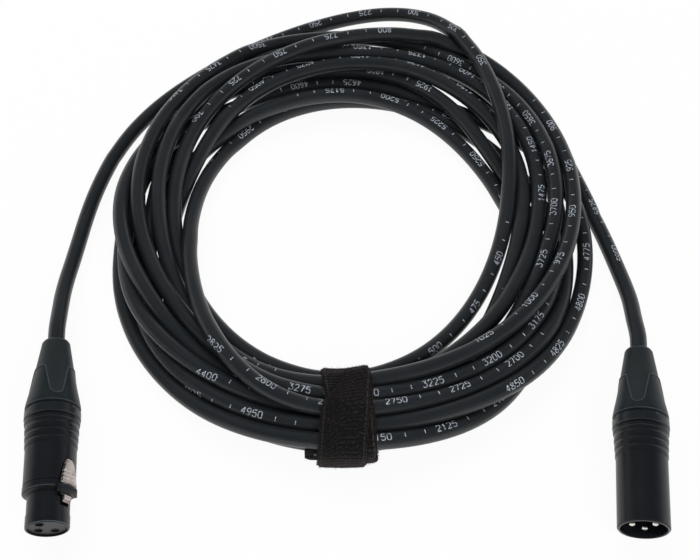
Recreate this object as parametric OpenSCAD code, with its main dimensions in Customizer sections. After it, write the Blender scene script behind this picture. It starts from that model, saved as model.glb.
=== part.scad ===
// Coiled microphone cable with a three-pole plug on each end, lying flat and tied with a hook-and-loop strap.
// Millimetres, +Z up, floor at z = 0, origin at the bottom centre of the whole thing.
// Each plug is drawn along its own axis, z = 0 at the cable end and +z towards the mating face.

/* [Cable] */
// Outer diameter of the cable
cable_d = 6.4; // [5:0.1:7]
// Outer diameter of one insulated conductor
wire_d = 1.5; // [1:0.1:1.8]
// Half width of the coil's outline, left to right
coil_half_x = 99; // [90:1:104]
// Half depth of the coil's outline, front to back
coil_half_y = 104; // [90:1:108]
// Width of the coil's band of cable at the sides
coil_band = 37; // [30:1:44]
// Height of the coil
coil_h = 16.8; // [12.8:0.1:18]

/* [Strap] */
// Width of the hook-and-loop strap
strap_w = 17.5; // [12:0.5:25]
// Thickness of one layer of strap
strap_t = 1.1; // [0.6:0.1:1.6]
// How far the second turn of the strap lies beside the first
strap_shift = 3.2; // [0:0.1:5]

/* [Plugs] */
// Radius of both plug housings
body_r = 9.2; // [9:0.1:9.8]
// Radius of the coding ring, the widest part
ring_r = 10.25; // [10.1:0.05:11]
// Length of the socket plug from boot to nose
socket_l = 75; // [73:0.1:80]
// Length of the pin plug from boot to rim
pin_l = 71.6; // [69:0.1:78]
// Radius of the socket plug's nose
nose_r = 7.7; // [7.6:0.05:7.9]
// Inner radius of the pin plug's shell
shell_bore_r = 8.05; // [8:0.05:8.2]
// Radius of the circle that the contacts stand on
contact_circle_r = 4; // [3.8:0.1:4.2]
// Radius of a contact pin where it stands out
pin_r = 1.19; // [1.1:0.01:1.25]
// Radius of the bore in a contact socket
socket_bore_r = 1.21; // [1.2:0.01:1.3]
// How far the pins end behind the rim
pin_recess = 1.7; // [0.5:0.1:3]
// How far the pins stand out of their insert
pin_reach = 13.2; // [12:0.1:14]

/* [Boot and bushing] */
// Radius of the boot at the cable end
boot_r = 5.2; // [4.9:0.1:5.4]
// Length of the soft boot behind the bushing's fingers
boot_l = 12.8; // [11:0.1:14]
// Where the bushing ends and the coding ring begins
bushing_l = 29.5; // [29:0.1:31]
// Width of the boot's three tongues at their root
tongue_w = 8.4; // [6:0.1:8.8]
// Depth of the tongues in the bushing
tongue_t = 0.8; // [0.4:0.1:0.9]
// Length of the coding ring
ring_l = 4.2; // [3:0.1:4.4]
// Radius of the screw thread that holds the bushing
thread_r = 8.3; // [8.2:0.05:8.5]

/* [Latch] */
// Width of the latch's push pad
latch_w = 8.2; // [7:0.1:8.6]
// Turn of the latch from straight up, clockwise seen at the nose
latch_roll = 61; // [0:1:80]
// Diameter of the latch's pivot pin
pivot_d = 1; // [0.8:0.1:1.2]

/* [Hidden] */

fit = 0.1;                  // radial play of a turning fit
seat = 0.05;                // play of a fixed seat
gap = 0.2;                  // gap between end faces
over = 1;                   // how far a cut runs past a face
turn_fn = 96;               // facets shown on turned parts
cable_r = cable_d / 2;
axis_h = ring_r;            // both plugs lie on their widest ring
cable_bore_r = cable_r + 0.3;

// Where the plugs lie: the cable end of each boot, and the turn of the axis from straight to the front
socket_at = [-111.75, -56.3, axis_h];
socket_turn = 6;
pin_at = [112.05, -59.9, axis_h];
pin_turn = -6.8;
// Turn of the socket plug's boot and of the whole pin plug from straight up, clockwise seen at the front
boot_roll = 20;
pin_roll = -18;

// Stations along a plug's axis that both plugs share
ring_z = bushing_l + gap;                   // rear face of the coding ring
shoulder_z = ring_z + ring_l + gap;         // rear face of the housing
tongue_end_z = bushing_l - 3.2;
jacket_z = bushing_l - 3.5;                 // the jacket ends here, inside the chuck
thread_z = bushing_l - 3.3;                 // rear end of the bushing's thread
rib_pitch = 2.9;
ribs = 3;
ribs_end_z = shoulder_z + 3 + ribs * rib_pitch;
spigot_wall = 1.4;
spigot_bore_r = thread_r - spigot_wall;
insert_r = spigot_bore_r - 0.1;             // the inserts go in through the spigot
insert_bore_r = insert_r + seat;
skirt_wall = 0.8;
cup_r = 1.5;                                // solder cup of a contact
cup_bore_r = 0.95;
cup_depth = 4;
cup_l = 6.2;

// The socket plug's own stations
face_z = socket_l - 0.7;                    // front face of the socket insert
flange_z = socket_l - 12.7;                 // front of the flange, root of the nose
flange_l = 2.4;
nose_front_l = 4.4;                         // the nose's full-size stretch
nose_relief = 0.2;
contact_l = 19.4;
contact_wall = 0.44;
entry_play = 0.24;          // the insert's entry is this much wider than the contact's bore
contact_front_z = face_z - 2;
contact_rear_z = contact_front_z - contact_l;
socket_cavity_z = contact_rear_z;           // the housing's wide cavity ends here
socket_skirt_z = contact_rear_z - cup_l;

// The latch, drawn at the top of the socket plug
bridge_rear_z = flange_z - 1;
bridge_z = flange_z + 2;                    // front of the ribbed bridge over the latch's neck
pad_rear_z = flange_z - 10.9;
pad_front_z = bridge_rear_z - 0.35;
pad_bottom_y = 7.9;
pad_top_y = body_r + 0.3;
pocket_play = 0.3;
pivot_z = pad_rear_z + 2;
pivot_y = 6.4;
pivot_l = 8.8;
knuckle_w = 4;
bridge_r = body_r + 0.75;
bridge_half = 31;                           // half angle that the bridge takes
neck_w = 5.2;
tunnel_w = neck_w + 2 * pocket_play;
neck_top_y = 8.1;
neck_t = 1.2;
hook_w = 3.4;
hook_front_z = bridge_z + 3.7;
hook_top_y = 8.9;
key_floor_y = 5.4;                          // floor of the insert's groove under the latch
spring_z = pivot_z + 3.6;

// The pin plug's own stations
pin_tip_z = pin_l - pin_recess;
pin_face_z = pin_tip_z - pin_reach;         // front face of the pin insert
pin_insert_l = 12.5;
pin_insert_z = pin_face_z - pin_insert_l;
pin_shoulder = 0.22;        // a pin is this much thicker inside its insert

// The coil's outline: an oval, the hole a little to the front of its middle
coil_mid = [2, 4.5];
coil_hole_mid = [0.4, 1.6];
coil_edge = 1.6;            // step of the band's rounded edges
coil_points = 72;

// The strap goes round the bundle of cable at the front of the coil, with two turns under it
bundle_in_y = coil_hole_mid[1] - (coil_half_y - coil_band) + 0.2;
bundle_out_y = coil_mid[1] - coil_half_y;
strap_round = 3;
strap_play = 0.15;
bundle_low_z = 2 * strap_t + strap_play;
tab_l = 5.6;                // the strap's narrow end, beside its second turn
tab_w = 4.8;

// The cable from the socket plug: along the left side, round the back, on to the coil
socket_route = [
    [-112.8, -44, 9.2], [-113.4, -30, 6.6], [-112.6, -15, 4.2], [-111.2, 0, 3.2], [-109, 16, 3.2],
    [-105.4, 32, 3.2], [-100, 48, 3.2], [-92.6, 62.4, 3.2], [-83, 75, 3.2], [-71, 85.4, 3.2],
    [-58, 96, 3.2], [-44, 106, 3.2], [-30, 114.4, 3.2], [-15.6, 121.6, 3.2], [0, 126.8, 3.2],
    [14, 129.4, 3.2], [28, 128.2, 3.2], [40.4, 122.6, 3.2], [49, 113.4, 3.6], [54.6, 104.4, 5],
    [58.6, 95, 7], [60.6, 86, 9]
];
// The cable from the pin plug: up the right side and under the coil's edge
pin_route = [
    [112.8, -46, 9], [113, -36, 7], [112, -25, 5], [110, -13.6, 3.8], [107.2, -1, 3.2],
    [103.6, 11.6, 3.2], [99.4, 23.6, 3.2]
];

// Direction and points of a plug's axis in the part's frame
function plug_dir(turn) = [sin(turn), -cos(turn), 0];
function plug_point(at, turn, z) = at + z * plug_dir(turn);

// A cord's start inside its plug, straight until clear of the boot, then the chosen points
function tail_points(at, turn, route) = concat(
    [for (z = [jacket_z, jacket_z / 2, 0, -6]) plug_point(at, turn, z)], route);

// Rings of a tube swept along points: on a lying tube one side stays level, so that it doesn't twist
function unit(v) = v / norm(v);
function along(points, i) = unit(points[min(i + 1, len(points) - 1)] - points[max(i - 1, 0)]);
function ring_points(centre, dir, radius, sides) =
    let (level = abs(dir[2]) > 0.9 ? [0, 1, 0] : [0, 0, 1])
    let (side = unit(cross(dir, level)), up = cross(side, dir))
    [for (k = [0:sides - 1]) centre + radius * (cos(360 * k / sides) * side + sin(360 * k / sides) * up)];

module tube(points, radius, sides) {
    rings = len(points);
    vertices = [for (i = [0:rings - 1]) each ring_points(points[i], along(points, i), radius, sides)];
    walls = [for (i = [0:rings - 2], k = [0:sides - 1])
        let (a = i * sides + k, b = i * sides + (k + 1) % sides)
        each [[a, b, b + sides], [a, b + sides, a + sides]]];
    rear = [for (k = [sides - 1:-1:0]) k];
    front = [for (k = [0:sides - 1]) (rings - 1) * sides + k];
    polyhedron(vertices, concat([rear], [front], walls));
}

// Places a plug's pieces in the part's frame
module at_socket(roll = 0) {
    translate(socket_at) rotate([90, 0, socket_turn]) rotate([0, 0, -roll]) children();
}
module at_pin() {
    translate(pin_at) rotate([90, 0, pin_turn]) rotate([0, 0, -pin_roll]) children();
}

module turned(profile) {
    rotate_extrude($fn = turn_fn) polygon(profile);
}
module rod(r, z0, z1) {
    translate([0, 0, z0]) cylinder(r = r, h = z1 - z0, $fn = 48);
}
// A block across the plug's top side: width, from y0 to y1, from z0 to z1
module top_block(w, y0, y1, z0, z1) {
    translate([-w / 2, y0, z0]) cube([w, y1 - y0, z1 - z0]);
}
// The three contact places, seen on either plug with the key at the top
module at_contact(number) {
    angle = [180, 0, 270][number - 1];
    translate([contact_circle_r * cos(angle), contact_circle_r * sin(angle), 0]) children();
}

// ---- Boot, bushing, coding ring and chuck, the same on both plugs ----

// Outer radius of boot and bushing at a station
function cone_r(z) = lookup(z, [
    [0, boot_r], [3, boot_r + 0.4], [boot_l, boot_r + 2], [17, boot_r + 2.7], [20, boot_r + 3.25],
    [23, boot_r + 3.85], [25, boot_r + 4.3], [27.5, ring_r - 0.25], [bushing_l - 0.6, ring_r - 0.08],
    [bushing_l, ring_r - 0.6]]);
cone_stations = [17, 20, 23, 25, 27.5, bushing_l - 0.6, bushing_l];
// The bushing's outside from front to rear, set back by play
function cone_outside(play) = [for (i = [len(cone_stations) - 1:-1:0])
    [cone_r(cone_stations[i]) - play, cone_stations[i]]];
bushing_bore = [[cable_bore_r, boot_l], [cable_bore_r, boot_l + 1], [4.1, boot_l + 1.2], [7, thread_z - 1.7],
    [7, thread_z - 1], [thread_r + fit, thread_z], [thread_r + fit, bushing_l]];

// Everything outside a tongue's floor, past both ends of the tongues
module outside_floor(play) {
    stations = concat([boot_l], cone_stations);
    turned(concat(
        [[cone_r(boot_l) - tongue_t - play - 0.1, boot_l - over]],
        [for (z = stations) [cone_r(z) - tongue_t - play, z]],
        [[ring_r + 2 * over, bushing_l], [ring_r + 2 * over, boot_l - over]]));
}
// One tongue's outline, tapering to a round end, straight in from the side
module tongue_outline(angle, play) {
    end_r = 2.3;
    root_z = boot_l - 0.5;
    rotate([0, 0, angle - 90]) translate([0, 3, 0]) rotate([-90, 0, 0])
        linear_extrude(ring_r + over - 3) offset(delta = -play) hull() {
            translate([-tongue_w / 2, -root_z]) square([tongue_w, 0.1]);
            translate([0, end_r - tongue_end_z]) circle(r = end_r, $fn = 48);
        }
}
module bushing() {
    difference() {
        turned(concat(bushing_bore, cone_outside(0), [[cone_r(boot_l), boot_l]]));
        for (angle = [90, 210, 330]) intersection() {
            outside_floor(0);
            tongue_outline(angle, 0);
        }
    }
}
module boot() {
    turned([[cable_bore_r, 0.6], [cable_bore_r + 0.5, 0], [boot_r - 1.1, 0], [boot_r - 0.4, 0.3],
        [boot_r + 0.1, 1.1], [cone_r(3), 3], [cone_r(boot_l) - 0.03, boot_l - seat],
        [cable_bore_r, boot_l - seat]]);
    for (angle = [90, 210, 330]) intersection() {
        turned(concat(
            [for (z = concat([boot_l - seat], cone_stations)) [cone_r(z) - tongue_t + seat, z]],
            cone_outside(0.03), [[cone_r(boot_l) - 0.03, boot_l - seat]]));
        tongue_outline(angle, seat);
    }
}
module coding_ring() {
    slot_w = 5.4;
    slot_l = 1.3;
    slot_t = 0.9;
    difference() {
        turned([[thread_r + fit, ring_z], [ring_r - 0.6, ring_z], [ring_r - 0.05, ring_z + 0.5],
            [ring_r, ring_z + 1], [ring_r, ring_z + ring_l - 0.5], [ring_r - 0.6, ring_z + ring_l],
            [thread_r + fit, ring_z + ring_l]]);
        // three shallow slots in the rear edge, to pull the ring off by
        for (angle = [-52, 68, 188]) rotate([0, 0, angle])
            top_block(slot_w, ring_r - slot_t, ring_r + over, ring_z - over, ring_z + slot_l);
    }
}
// Collet that the bushing's cone squeezes on to the jacket; its sleeve reaches the insert
module chuck(front_z) {
    jaw_z = boot_l + 1.6;
    sleeve_z = thread_z + 0.4;
    difference() {
        turned([[cable_r + seat, jaw_z], [4, jaw_z], [6.7, thread_z - 2], [spigot_bore_r - fit, sleeve_z],
            [spigot_bore_r - fit, front_z], [spigot_bore_r - fit - skirt_wall, front_z],
            [spigot_bore_r - fit - skirt_wall, jacket_z + 1], [cable_r + seat, jacket_z - 1]]);
        for (angle = [30, 150, 270]) rotate([0, 0, angle])
            translate([0, -0.5, jaw_z - over]) cube([insert_r + over, 1, thread_z - jaw_z]);
    }
}
// The housing's rear end: spigot, wide collar and grip ribs, up to where the plain body starts
function grip_profile() = concat(
    [[spigot_bore_r, thread_z + 0.2], [thread_r, thread_z + 0.2], [thread_r, shoulder_z],
        [ring_r - 0.6, shoulder_z], [ring_r - 0.15, shoulder_z + 0.4], [ring_r - 0.25, shoulder_z + 1.5],
        [body_r + 0.45, shoulder_z + 2]],
    [for (i = [0:ribs - 1]) let (z = shoulder_z + 3 + i * rib_pitch, r = body_r + 0.6 - 0.16 * i)
        each [[r - 0.2, z], [r, z + 0.7], [r - 0.05, z + rib_pitch - 1], [r - 0.28, z + rib_pitch - 0.4]]],
    [[body_r, ribs_end_z]]);

// ---- Wires: from the jacket's end to a solder cup ----

module wire(number, cup_z) {
    angle = [180, 0, 270][number - 1];
    out = [cos(angle), sin(angle), 0];
    from = 1.35 * out + [0, 0, jacket_z + 0.1];
    to = contact_circle_r * out + [0, 0, cup_z - 1.6];
    tube([from, from + [0, 0, 1.2], (from + to) / 2, to, to + [0, 0, 1.2]], wire_d / 2, 12);
    translate(to + [0, 0, 1]) cylinder(r = cup_bore_r - 0.3, h = cup_depth, $fn = 32);
}

// ---- Socket plug ----

// The push pad's outline, rounded at the rear, straight in from the top between two heights
module pad_outline(play, y0, y1) {
    half = [0.9, 1.6, 2.5, 3.3, 3.8, latch_w / 2];
    at = [pad_rear_z, pad_rear_z + 0.5, pad_rear_z + 2, pad_rear_z + 4.5, pad_front_z - 1.5, pad_front_z];
    steps = len(at) - 1;
    translate([0, y0, 0]) rotate([-90, 0, 0]) linear_extrude(y1 - y0) offset(delta = play)
        polygon(concat([for (i = [0:steps]) [-half[i], -at[i]]], [for (i = [steps:-1:0]) [half[i], -at[i]]]));
}
module socket_housing() {
    front_z = socket_l - nose_front_l;
    color([0.07, 0.08, 0.085]) at_socket(latch_roll) difference() {
        union() {
            turned(concat(grip_profile(), [
                [body_r, flange_z - flange_l - 0.5], [body_r - 0.25, flange_z - flange_l - 0.3],
                [body_r - 0.25, flange_z - flange_l], [body_r + 0.15, flange_z - flange_l + 0.2],
                [body_r + 0.15, flange_z - 0.4], [body_r - 0.4, flange_z + 0.2],
                [nose_r - nose_relief, flange_z + 0.7], [nose_r - nose_relief, front_z - 0.15],
                [nose_r, front_z], [nose_r, socket_l - 0.6], [nose_r - 0.5, socket_l],
                [insert_bore_r, socket_l], [insert_bore_r, socket_cavity_z],
                [body_r - 1.9, socket_cavity_z - 0.6], [body_r - 1.9, shoulder_z + 2.6],
                [spigot_bore_r, shoulder_z + 2]]));
            // bridge over the latch's neck
            rotate([0, 0, 90 - bridge_half]) rotate_extrude(angle = 2 * bridge_half, $fn = turn_fn)
                polygon([[insert_bore_r + 0.2, bridge_rear_z], [bridge_r, bridge_rear_z],
                    [bridge_r, bridge_z - 0.3], [bridge_r - 0.3, bridge_z], [insert_bore_r + 0.2, bridge_z]]);
        }
        // pocket for the push pad, open to the top
        pad_outline(pocket_play, key_floor_y, bridge_r + over);
        // tunnel under the bridge, then slots in the nose for neck and hook
        top_block(tunnel_w, key_floor_y, neck_top_y + 0.25, pad_front_z - over, bridge_z + over);
        top_block(tunnel_w, key_floor_y, bridge_r + over, bridge_z, bridge_z + 0.9);
        top_block(hook_w + 2 * pocket_play, key_floor_y, bridge_r + over, bridge_z, hook_front_z + 0.4);
        // cross hole for the pivot pin
        translate([0, pivot_y, pivot_z]) rotate([0, 90, 0])
            cylinder(d = pivot_d + 2 * seat, h = pivot_l + 0.4, center = true, $fn = 32);
    }
}
module socket_insert() {
    color([0.05, 0.05, 0.055]) at_socket(latch_roll) difference() {
        rod(insert_r, socket_skirt_z, face_z);
        rod(insert_r - skirt_wall, socket_skirt_z - over, contact_rear_z);
        for (i = [1:3]) at_contact(i) {
            rod(socket_bore_r + contact_wall + seat, contact_rear_z - over, contact_front_z + seat);
            rod(socket_bore_r + entry_play, contact_front_z - over, face_z + over);
        }
        // groove that leaves room for the latch, its spring and the mating key
        top_block(2 * insert_r, key_floor_y, insert_r + over, socket_skirt_z - over, hook_front_z + 0.6);
        top_block(2.4, key_floor_y + 0.4, insert_r + over, hook_front_z, face_z + over);
    }
}
module socket_contact(number) {
    color([0.78, 0.68, 0.42]) at_socket(latch_roll) at_contact(number) difference() {
        union() {
            rod(socket_bore_r + contact_wall, contact_rear_z, contact_front_z);
            rod(cup_r, contact_rear_z - cup_l + 0.4, contact_rear_z);
        }
        rod(socket_bore_r, contact_front_z - 13, contact_front_z + over);
        rod(cup_bore_r, contact_rear_z - cup_l - over, contact_rear_z - cup_l + 0.4 + cup_depth);
    }
}
module latch() {
    color([0.72, 0.7, 0.68]) at_socket(latch_roll) difference() {
        union() {
            // push pad, flat on top and wider than the housing's curve
            pad_outline(0, pad_bottom_y, pad_top_y - 0.4);
            pad_outline(-0.4, pad_bottom_y, pad_top_y);
            // knuckle under the pad, round the pivot
            top_block(knuckle_w, pivot_y, pad_bottom_y + 0.2, pivot_z - 0.9, pivot_z + 0.9);
            translate([0, pivot_y, pivot_z]) rotate([0, 90, 0])
                cylinder(r = 0.9, h = knuckle_w, center = true, $fn = 32);
            // neck under the bridge and hook in the nose's slot
            top_block(neck_w, neck_top_y - neck_t, neck_top_y, pad_front_z - 1, bridge_z + 0.55);
            top_block(hook_w, neck_top_y - neck_t, neck_top_y, bridge_z, hook_front_z - 0.6);
            top_block(hook_w, neck_top_y - neck_t, hook_top_y, hook_front_z - 3, hook_front_z - 1.2);
            translate([0, neck_top_y - neck_t / 2, hook_front_z - 1.2]) rotate([0, 90, 0])
                cylinder(r = neck_t / 2, h = hook_w, center = true, $fn = 32);
        }
        translate([0, pivot_y, pivot_z]) rotate([0, 90, 0])
            cylinder(d = pivot_d + 2 * seat, h = knuckle_w + over, center = true, $fn = 32);
        // three finger grooves across the pad
        for (i = [0:2]) translate([0, pad_top_y + 0.2, pad_front_z - 1.6 - 1.5 * i]) rotate([0, 90, 0])
            cylinder(r = 0.5, h = latch_w + over, center = true, $fn = 24);
    }
}
module latch_pivot() {
    color([0.7, 0.7, 0.7]) at_socket(latch_roll) translate([0, pivot_y, pivot_z]) rotate([0, 90, 0])
        cylinder(d = pivot_d, h = pivot_l, center = true, $fn = 32);
}
module latch_spring() {
    wire_r = 0.17;
    coil_r = 1.2;
    turns = 3.5;
    rise = pad_bottom_y - key_floor_y - 2 * wire_r - 0.1;
    steps = 42;
    points = [for (i = [0:steps]) let (a = 360 * turns * i / steps)
        [coil_r * cos(a), coil_r * sin(a), wire_r + 0.05 + rise * i / steps]];
    color([0.75, 0.75, 0.76]) at_socket(latch_roll)
        translate([0, key_floor_y, spring_z]) rotate([-90, 0, 0]) tube(points, wire_r, 6);
}
module socket_coding_ring() {
    color([0.08, 0.085, 0.09]) at_socket(boot_roll) coding_ring();
}
module socket_chuck() {
    color([0.12, 0.12, 0.13]) at_socket() chuck(socket_skirt_z - gap);
}
module socket_bushing() {
    color([0.09, 0.11, 0.12]) at_socket(boot_roll) bushing();
}
module socket_boot() {
    color([0.13, 0.15, 0.16]) at_socket(boot_roll) boot();
}
module socket_wire(number, shade) {
    color(shade) at_socket(latch_roll) wire(number, socket_skirt_z + 0.4);
}

// ---- Pin plug ----

module pin_housing() {
    color([0.07, 0.08, 0.085]) at_pin() turned(concat(grip_profile(), [
        [body_r - 0.02, pin_l - 0.5], [body_r - 0.4, pin_l - 0.05], [body_r - 0.7, pin_l],
        [shell_bore_r + 0.15, pin_l], [shell_bore_r, pin_l - 0.3],
        [shell_bore_r, pin_face_z], [insert_bore_r, pin_face_z], [insert_bore_r, pin_insert_z - 3],
        [body_r - 1.9, pin_insert_z - 3.6], [body_r - 1.9, shoulder_z + 2.6],
        [spigot_bore_r, shoulder_z + 2]]));
}
module pin_insert() {
    color([0.05, 0.05, 0.055]) at_pin() difference() {
        rod(insert_r, pin_insert_z - 3, pin_face_z);
        rod(insert_r - skirt_wall, pin_insert_z - 3 - over, pin_insert_z);
        for (i = [1:3]) at_contact(i)
            rod(pin_r + pin_shoulder + seat, pin_insert_z - over, pin_face_z + over);
        top_block(4.8, insert_r - 0.9, insert_r + over, pin_insert_z - 3 - over, pin_face_z + over);
    }
}
module contact_pin(number) {
    tip = 0.5;
    rear_z = pin_insert_z - cup_l;
    color([0.82, 0.8, 0.76]) at_pin() at_contact(number) difference() {
        turned([[0, rear_z], [cup_r, rear_z], [cup_r, pin_insert_z - gap],
            [pin_r + pin_shoulder, pin_insert_z - gap], [pin_r + pin_shoulder, pin_face_z],
            [pin_r, pin_face_z], [pin_r, pin_tip_z - tip], [pin_r - 0.15, pin_tip_z - 0.2],
            [pin_r - tip, pin_tip_z], [0, pin_tip_z]]);
        rod(cup_bore_r, rear_z - over, rear_z + cup_depth);
    }
}
module ground_contact() {
    strip_t = 0.4;
    floor_y = insert_r - 0.9 + seat;
    color([0.75, 0.72, 0.62]) at_pin() {
        top_block(4.2, floor_y, floor_y + strip_t, pin_insert_z - 2, pin_face_z + 3);
        top_block(4.2, floor_y, insert_r - 0.35, pin_face_z - 1, pin_face_z - 0.4);
    }
}
module pin_coding_ring() {
    color([0.08, 0.085, 0.09]) at_pin() coding_ring();
}
module pin_chuck() {
    color([0.12, 0.12, 0.13]) at_pin() chuck(pin_insert_z - 3 - gap);
}
module pin_bushing() {
    color([0.09, 0.11, 0.12]) at_pin() bushing();
}
module pin_boot() {
    color([0.13, 0.15, 0.16]) at_pin() boot();
}
module pin_wire(number, shade) {
    color(shade) at_pin() wire(number, pin_insert_z - cup_l);
}

// ---- Cable and strap ----

function oval(mid, half_x, half_y) = [for (i = [0:coil_points - 1]) let (a = 360 * i / coil_points)
    mid + [half_x * cos(a), half_y * sin(a)]];
// One slice of the coil's band, its edges moved in by a step
module coil_slice(step, z0, z1) {
    translate([0, 0, z0]) linear_extrude(z1 - z0) difference() {
        polygon(oval(coil_mid, coil_half_x - step, coil_half_y - step));
        polygon(oval(coil_hole_mid, coil_half_x - coil_band + step, coil_half_y - coil_band + step));
    }
}
module cable_coil() {
    notch_w = strap_w + strap_shift + 2;
    color([0.12, 0.13, 0.14]) difference() {
        union() {
            coil_slice(coil_edge, 0, coil_edge);
            coil_slice(0, coil_edge, coil_h - coil_edge);
            coil_slice(coil_edge, coil_h - coil_edge, coil_h);
        }
        // the tied bundle lies on the strap
        translate([-notch_w / 2, bundle_out_y - 2, -over])
            cube([notch_w, bundle_in_y - bundle_out_y + 4, bundle_low_z + over]);
    }
}
module socket_tail() {
    color([0.12, 0.13, 0.14]) tube(tail_points(socket_at, socket_turn, socket_route), cable_r, 10);
}
module pin_tail() {
    color([0.12, 0.13, 0.14]) tube(tail_points(pin_at, pin_turn, pin_route), cable_r, 10);
}

// A rectangle with round corners, from low corner to high corner
module rounded(low, high, r) {
    translate(low + [r, 0]) square([high[0] - low[0] - 2 * r, high[1] - low[1]]);
    translate(low + [0, r]) square([high[0] - low[0], high[1] - low[1] - 2 * r]);
    for (x = [low[0] + r, high[0] - r], y = [low[1] + r, high[1] - r])
        translate([x, y]) circle(r = r, $fn = 48);
}
// One turn of strap round the bundle, drawn across the cable and set up along X
module strap_turn(layer, x) {
    out = strap_play + strap_t * layer;
    low = [bundle_out_y - out, bundle_low_z - out];
    high = [bundle_in_y + out, coil_h + out];
    wall = [strap_t, strap_t];
    translate([x, 0, 0]) rotate([90, 0, 90]) linear_extrude(strap_w) difference() {
        rounded(low - wall, high + wall, strap_round + out);
        rounded(low, high, strap_round + out - strap_t);
    }
}
module strap() {
    left_x = -(strap_w + strap_shift) / 2;
    front_y = bundle_out_y - strap_play - 2 * strap_t;
    tab_z = 5;
    color([0.11, 0.1, 0.1]) {
        strap_turn(0, left_x + strap_shift);
        strap_turn(1, left_x);
        translate([left_x - tab_l, front_y, tab_z]) cube([tab_l + 1, strap_t, tab_w]);
    }
}

cable_coil();
socket_tail();
pin_tail();
strap();
socket_housing();
socket_insert();
socket_contact(1);  // socket_contact_1
socket_contact(2);  // socket_contact_2
socket_contact(3);  // socket_contact_3
latch();
latch_pivot();
latch_spring();
socket_coding_ring();
socket_chuck();
socket_bushing();
socket_boot();
socket_wire(1, [0.7, 0.1, 0.1]);  // socket_wire_red
socket_wire(2, [0.9, 0.9, 0.88]);  // socket_wire_white
socket_wire(3, [0.72, 0.45, 0.25]);  // socket_wire_shield
pin_housing();
pin_insert();
contact_pin(1);  // contact_pin_1
contact_pin(2);  // contact_pin_2
contact_pin(3);  // contact_pin_3
ground_contact();
pin_coding_ring();
pin_chuck();
pin_bushing();
pin_boot();
pin_wire(1, [0.7, 0.1, 0.1]);  // pin_wire_red
pin_wire(2, [0.9, 0.9, 0.88]);  // pin_wire_white
pin_wire(3, [0.72, 0.45, 0.25]);  // pin_wire_shield
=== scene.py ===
"""Looks of a coiled microphone cable: two round plugs, the printed jacket and the hook-and-loop strap.

Everything is in metres and +Z up, in the part's own frame. Tables that are easier to read in
millimetres say so and are scaled by MM. The camera and the cable come first, then the plugs,
the strap, the materials, the light and the floor.
"""

import math
import random

import bpy
import numpy as np
from mathutils import Euler, Matrix, Vector


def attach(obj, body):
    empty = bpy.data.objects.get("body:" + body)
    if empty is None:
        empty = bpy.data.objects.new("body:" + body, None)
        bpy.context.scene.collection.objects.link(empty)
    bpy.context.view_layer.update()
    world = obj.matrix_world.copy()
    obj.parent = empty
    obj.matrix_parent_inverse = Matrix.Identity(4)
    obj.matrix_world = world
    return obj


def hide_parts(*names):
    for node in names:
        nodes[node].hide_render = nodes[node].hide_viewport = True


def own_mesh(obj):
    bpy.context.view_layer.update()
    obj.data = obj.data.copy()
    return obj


MM = 0.001

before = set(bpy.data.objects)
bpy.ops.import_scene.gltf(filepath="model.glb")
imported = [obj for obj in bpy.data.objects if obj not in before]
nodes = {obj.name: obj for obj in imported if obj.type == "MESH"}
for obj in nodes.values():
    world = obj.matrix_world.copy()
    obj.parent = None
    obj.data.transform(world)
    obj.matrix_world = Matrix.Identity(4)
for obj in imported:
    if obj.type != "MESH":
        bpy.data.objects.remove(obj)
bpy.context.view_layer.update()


# ---- camera

CAMERA_AT = Vector((1.4, -262.6, 372.4)) * MM
CAMERA_TILT = 33.0  # degrees from straight down
CAMERA_SENSOR = 36.0
CAMERA_LENS = 55.54


def set_camera():
    data = bpy.data.cameras.new("camera")
    data.sensor_fit = "HORIZONTAL"
    data.sensor_width = CAMERA_SENSOR
    data.lens = CAMERA_LENS
    data.clip_start = 0.01
    data.clip_end = 20.0
    camera = bpy.data.objects.new("camera", data)
    camera.location = CAMERA_AT
    camera.rotation_euler = Euler((math.radians(CAMERA_TILT), 0.0, 0.0))
    bpy.context.scene.collection.objects.link(camera)
    bpy.context.scene.camera = camera


# ---- meshes


def piece_from(name, points, faces, material, smooth=True, uvs=None):
    """A mesh piece in the part's frame; uvs holds one pair for each corner of each face."""
    mesh = bpy.data.meshes.new(name)
    mesh.from_pydata([tuple(p) for p in points], [], faces)
    if uvs is not None:
        layer = mesh.uv_layers.new(name="lengthwise")
        layer.data.foreach_set("uv", np.asarray(uvs, np.float32).ravel())
    mesh.materials.append(material)
    mesh.shade_smooth() if smooth else mesh.shade_flat()
    mesh.validate()
    mesh.update()
    piece = bpy.data.objects.new(name, mesh)
    bpy.context.scene.collection.objects.link(piece)
    return piece


def piece_on(body, slot, name, points, faces, material, uvs=None):
    """A piece of the object, which rides on a body and takes the material that it is given; the slot is not
    used.
    """
    piece = piece_from(name, points, faces, material, uvs=uvs)
    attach(piece, body)
    return piece


def merged(parts):
    """One set of points and faces from several."""
    points, faces = [], []
    for more_points, more_faces in parts:
        faces += [tuple(len(points) + corner for corner in face) for face in more_faces]
        points += more_points
    return points, faces


def frames_along(line):
    """Tangent, side and up at each point of a line that never stands upright."""
    ahead = np.vstack([line[1:], line[-1:]])
    behind = np.vstack([line[:1], line[:-1]])
    tangent = ahead - behind
    tangent /= np.linalg.norm(tangent, axis=1)[:, None]
    side = np.cross(tangent, (0.0, 0.0, 1.0))
    side /= np.linalg.norm(side, axis=1)[:, None]
    return tangent, side, np.cross(side, tangent)


def ring_faces(rings, sides, joined=False):
    """Quads between rings of points; the last ring joins the first, or both ends are closed."""
    faces = []
    for i in range(rings if joined else rings - 1):
        here, ahead = i * sides, (i + 1) % rings * sides
        for k in range(sides):
            m = (k + 1) % sides
            faces.append((here + k, here + m, ahead + m, ahead + k))
    if not joined:
        faces.append(tuple(range(sides - 1, -1, -1)))
        faces.append(tuple((rings - 1) * sides + k for k in range(sides)))
    return faces


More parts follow.
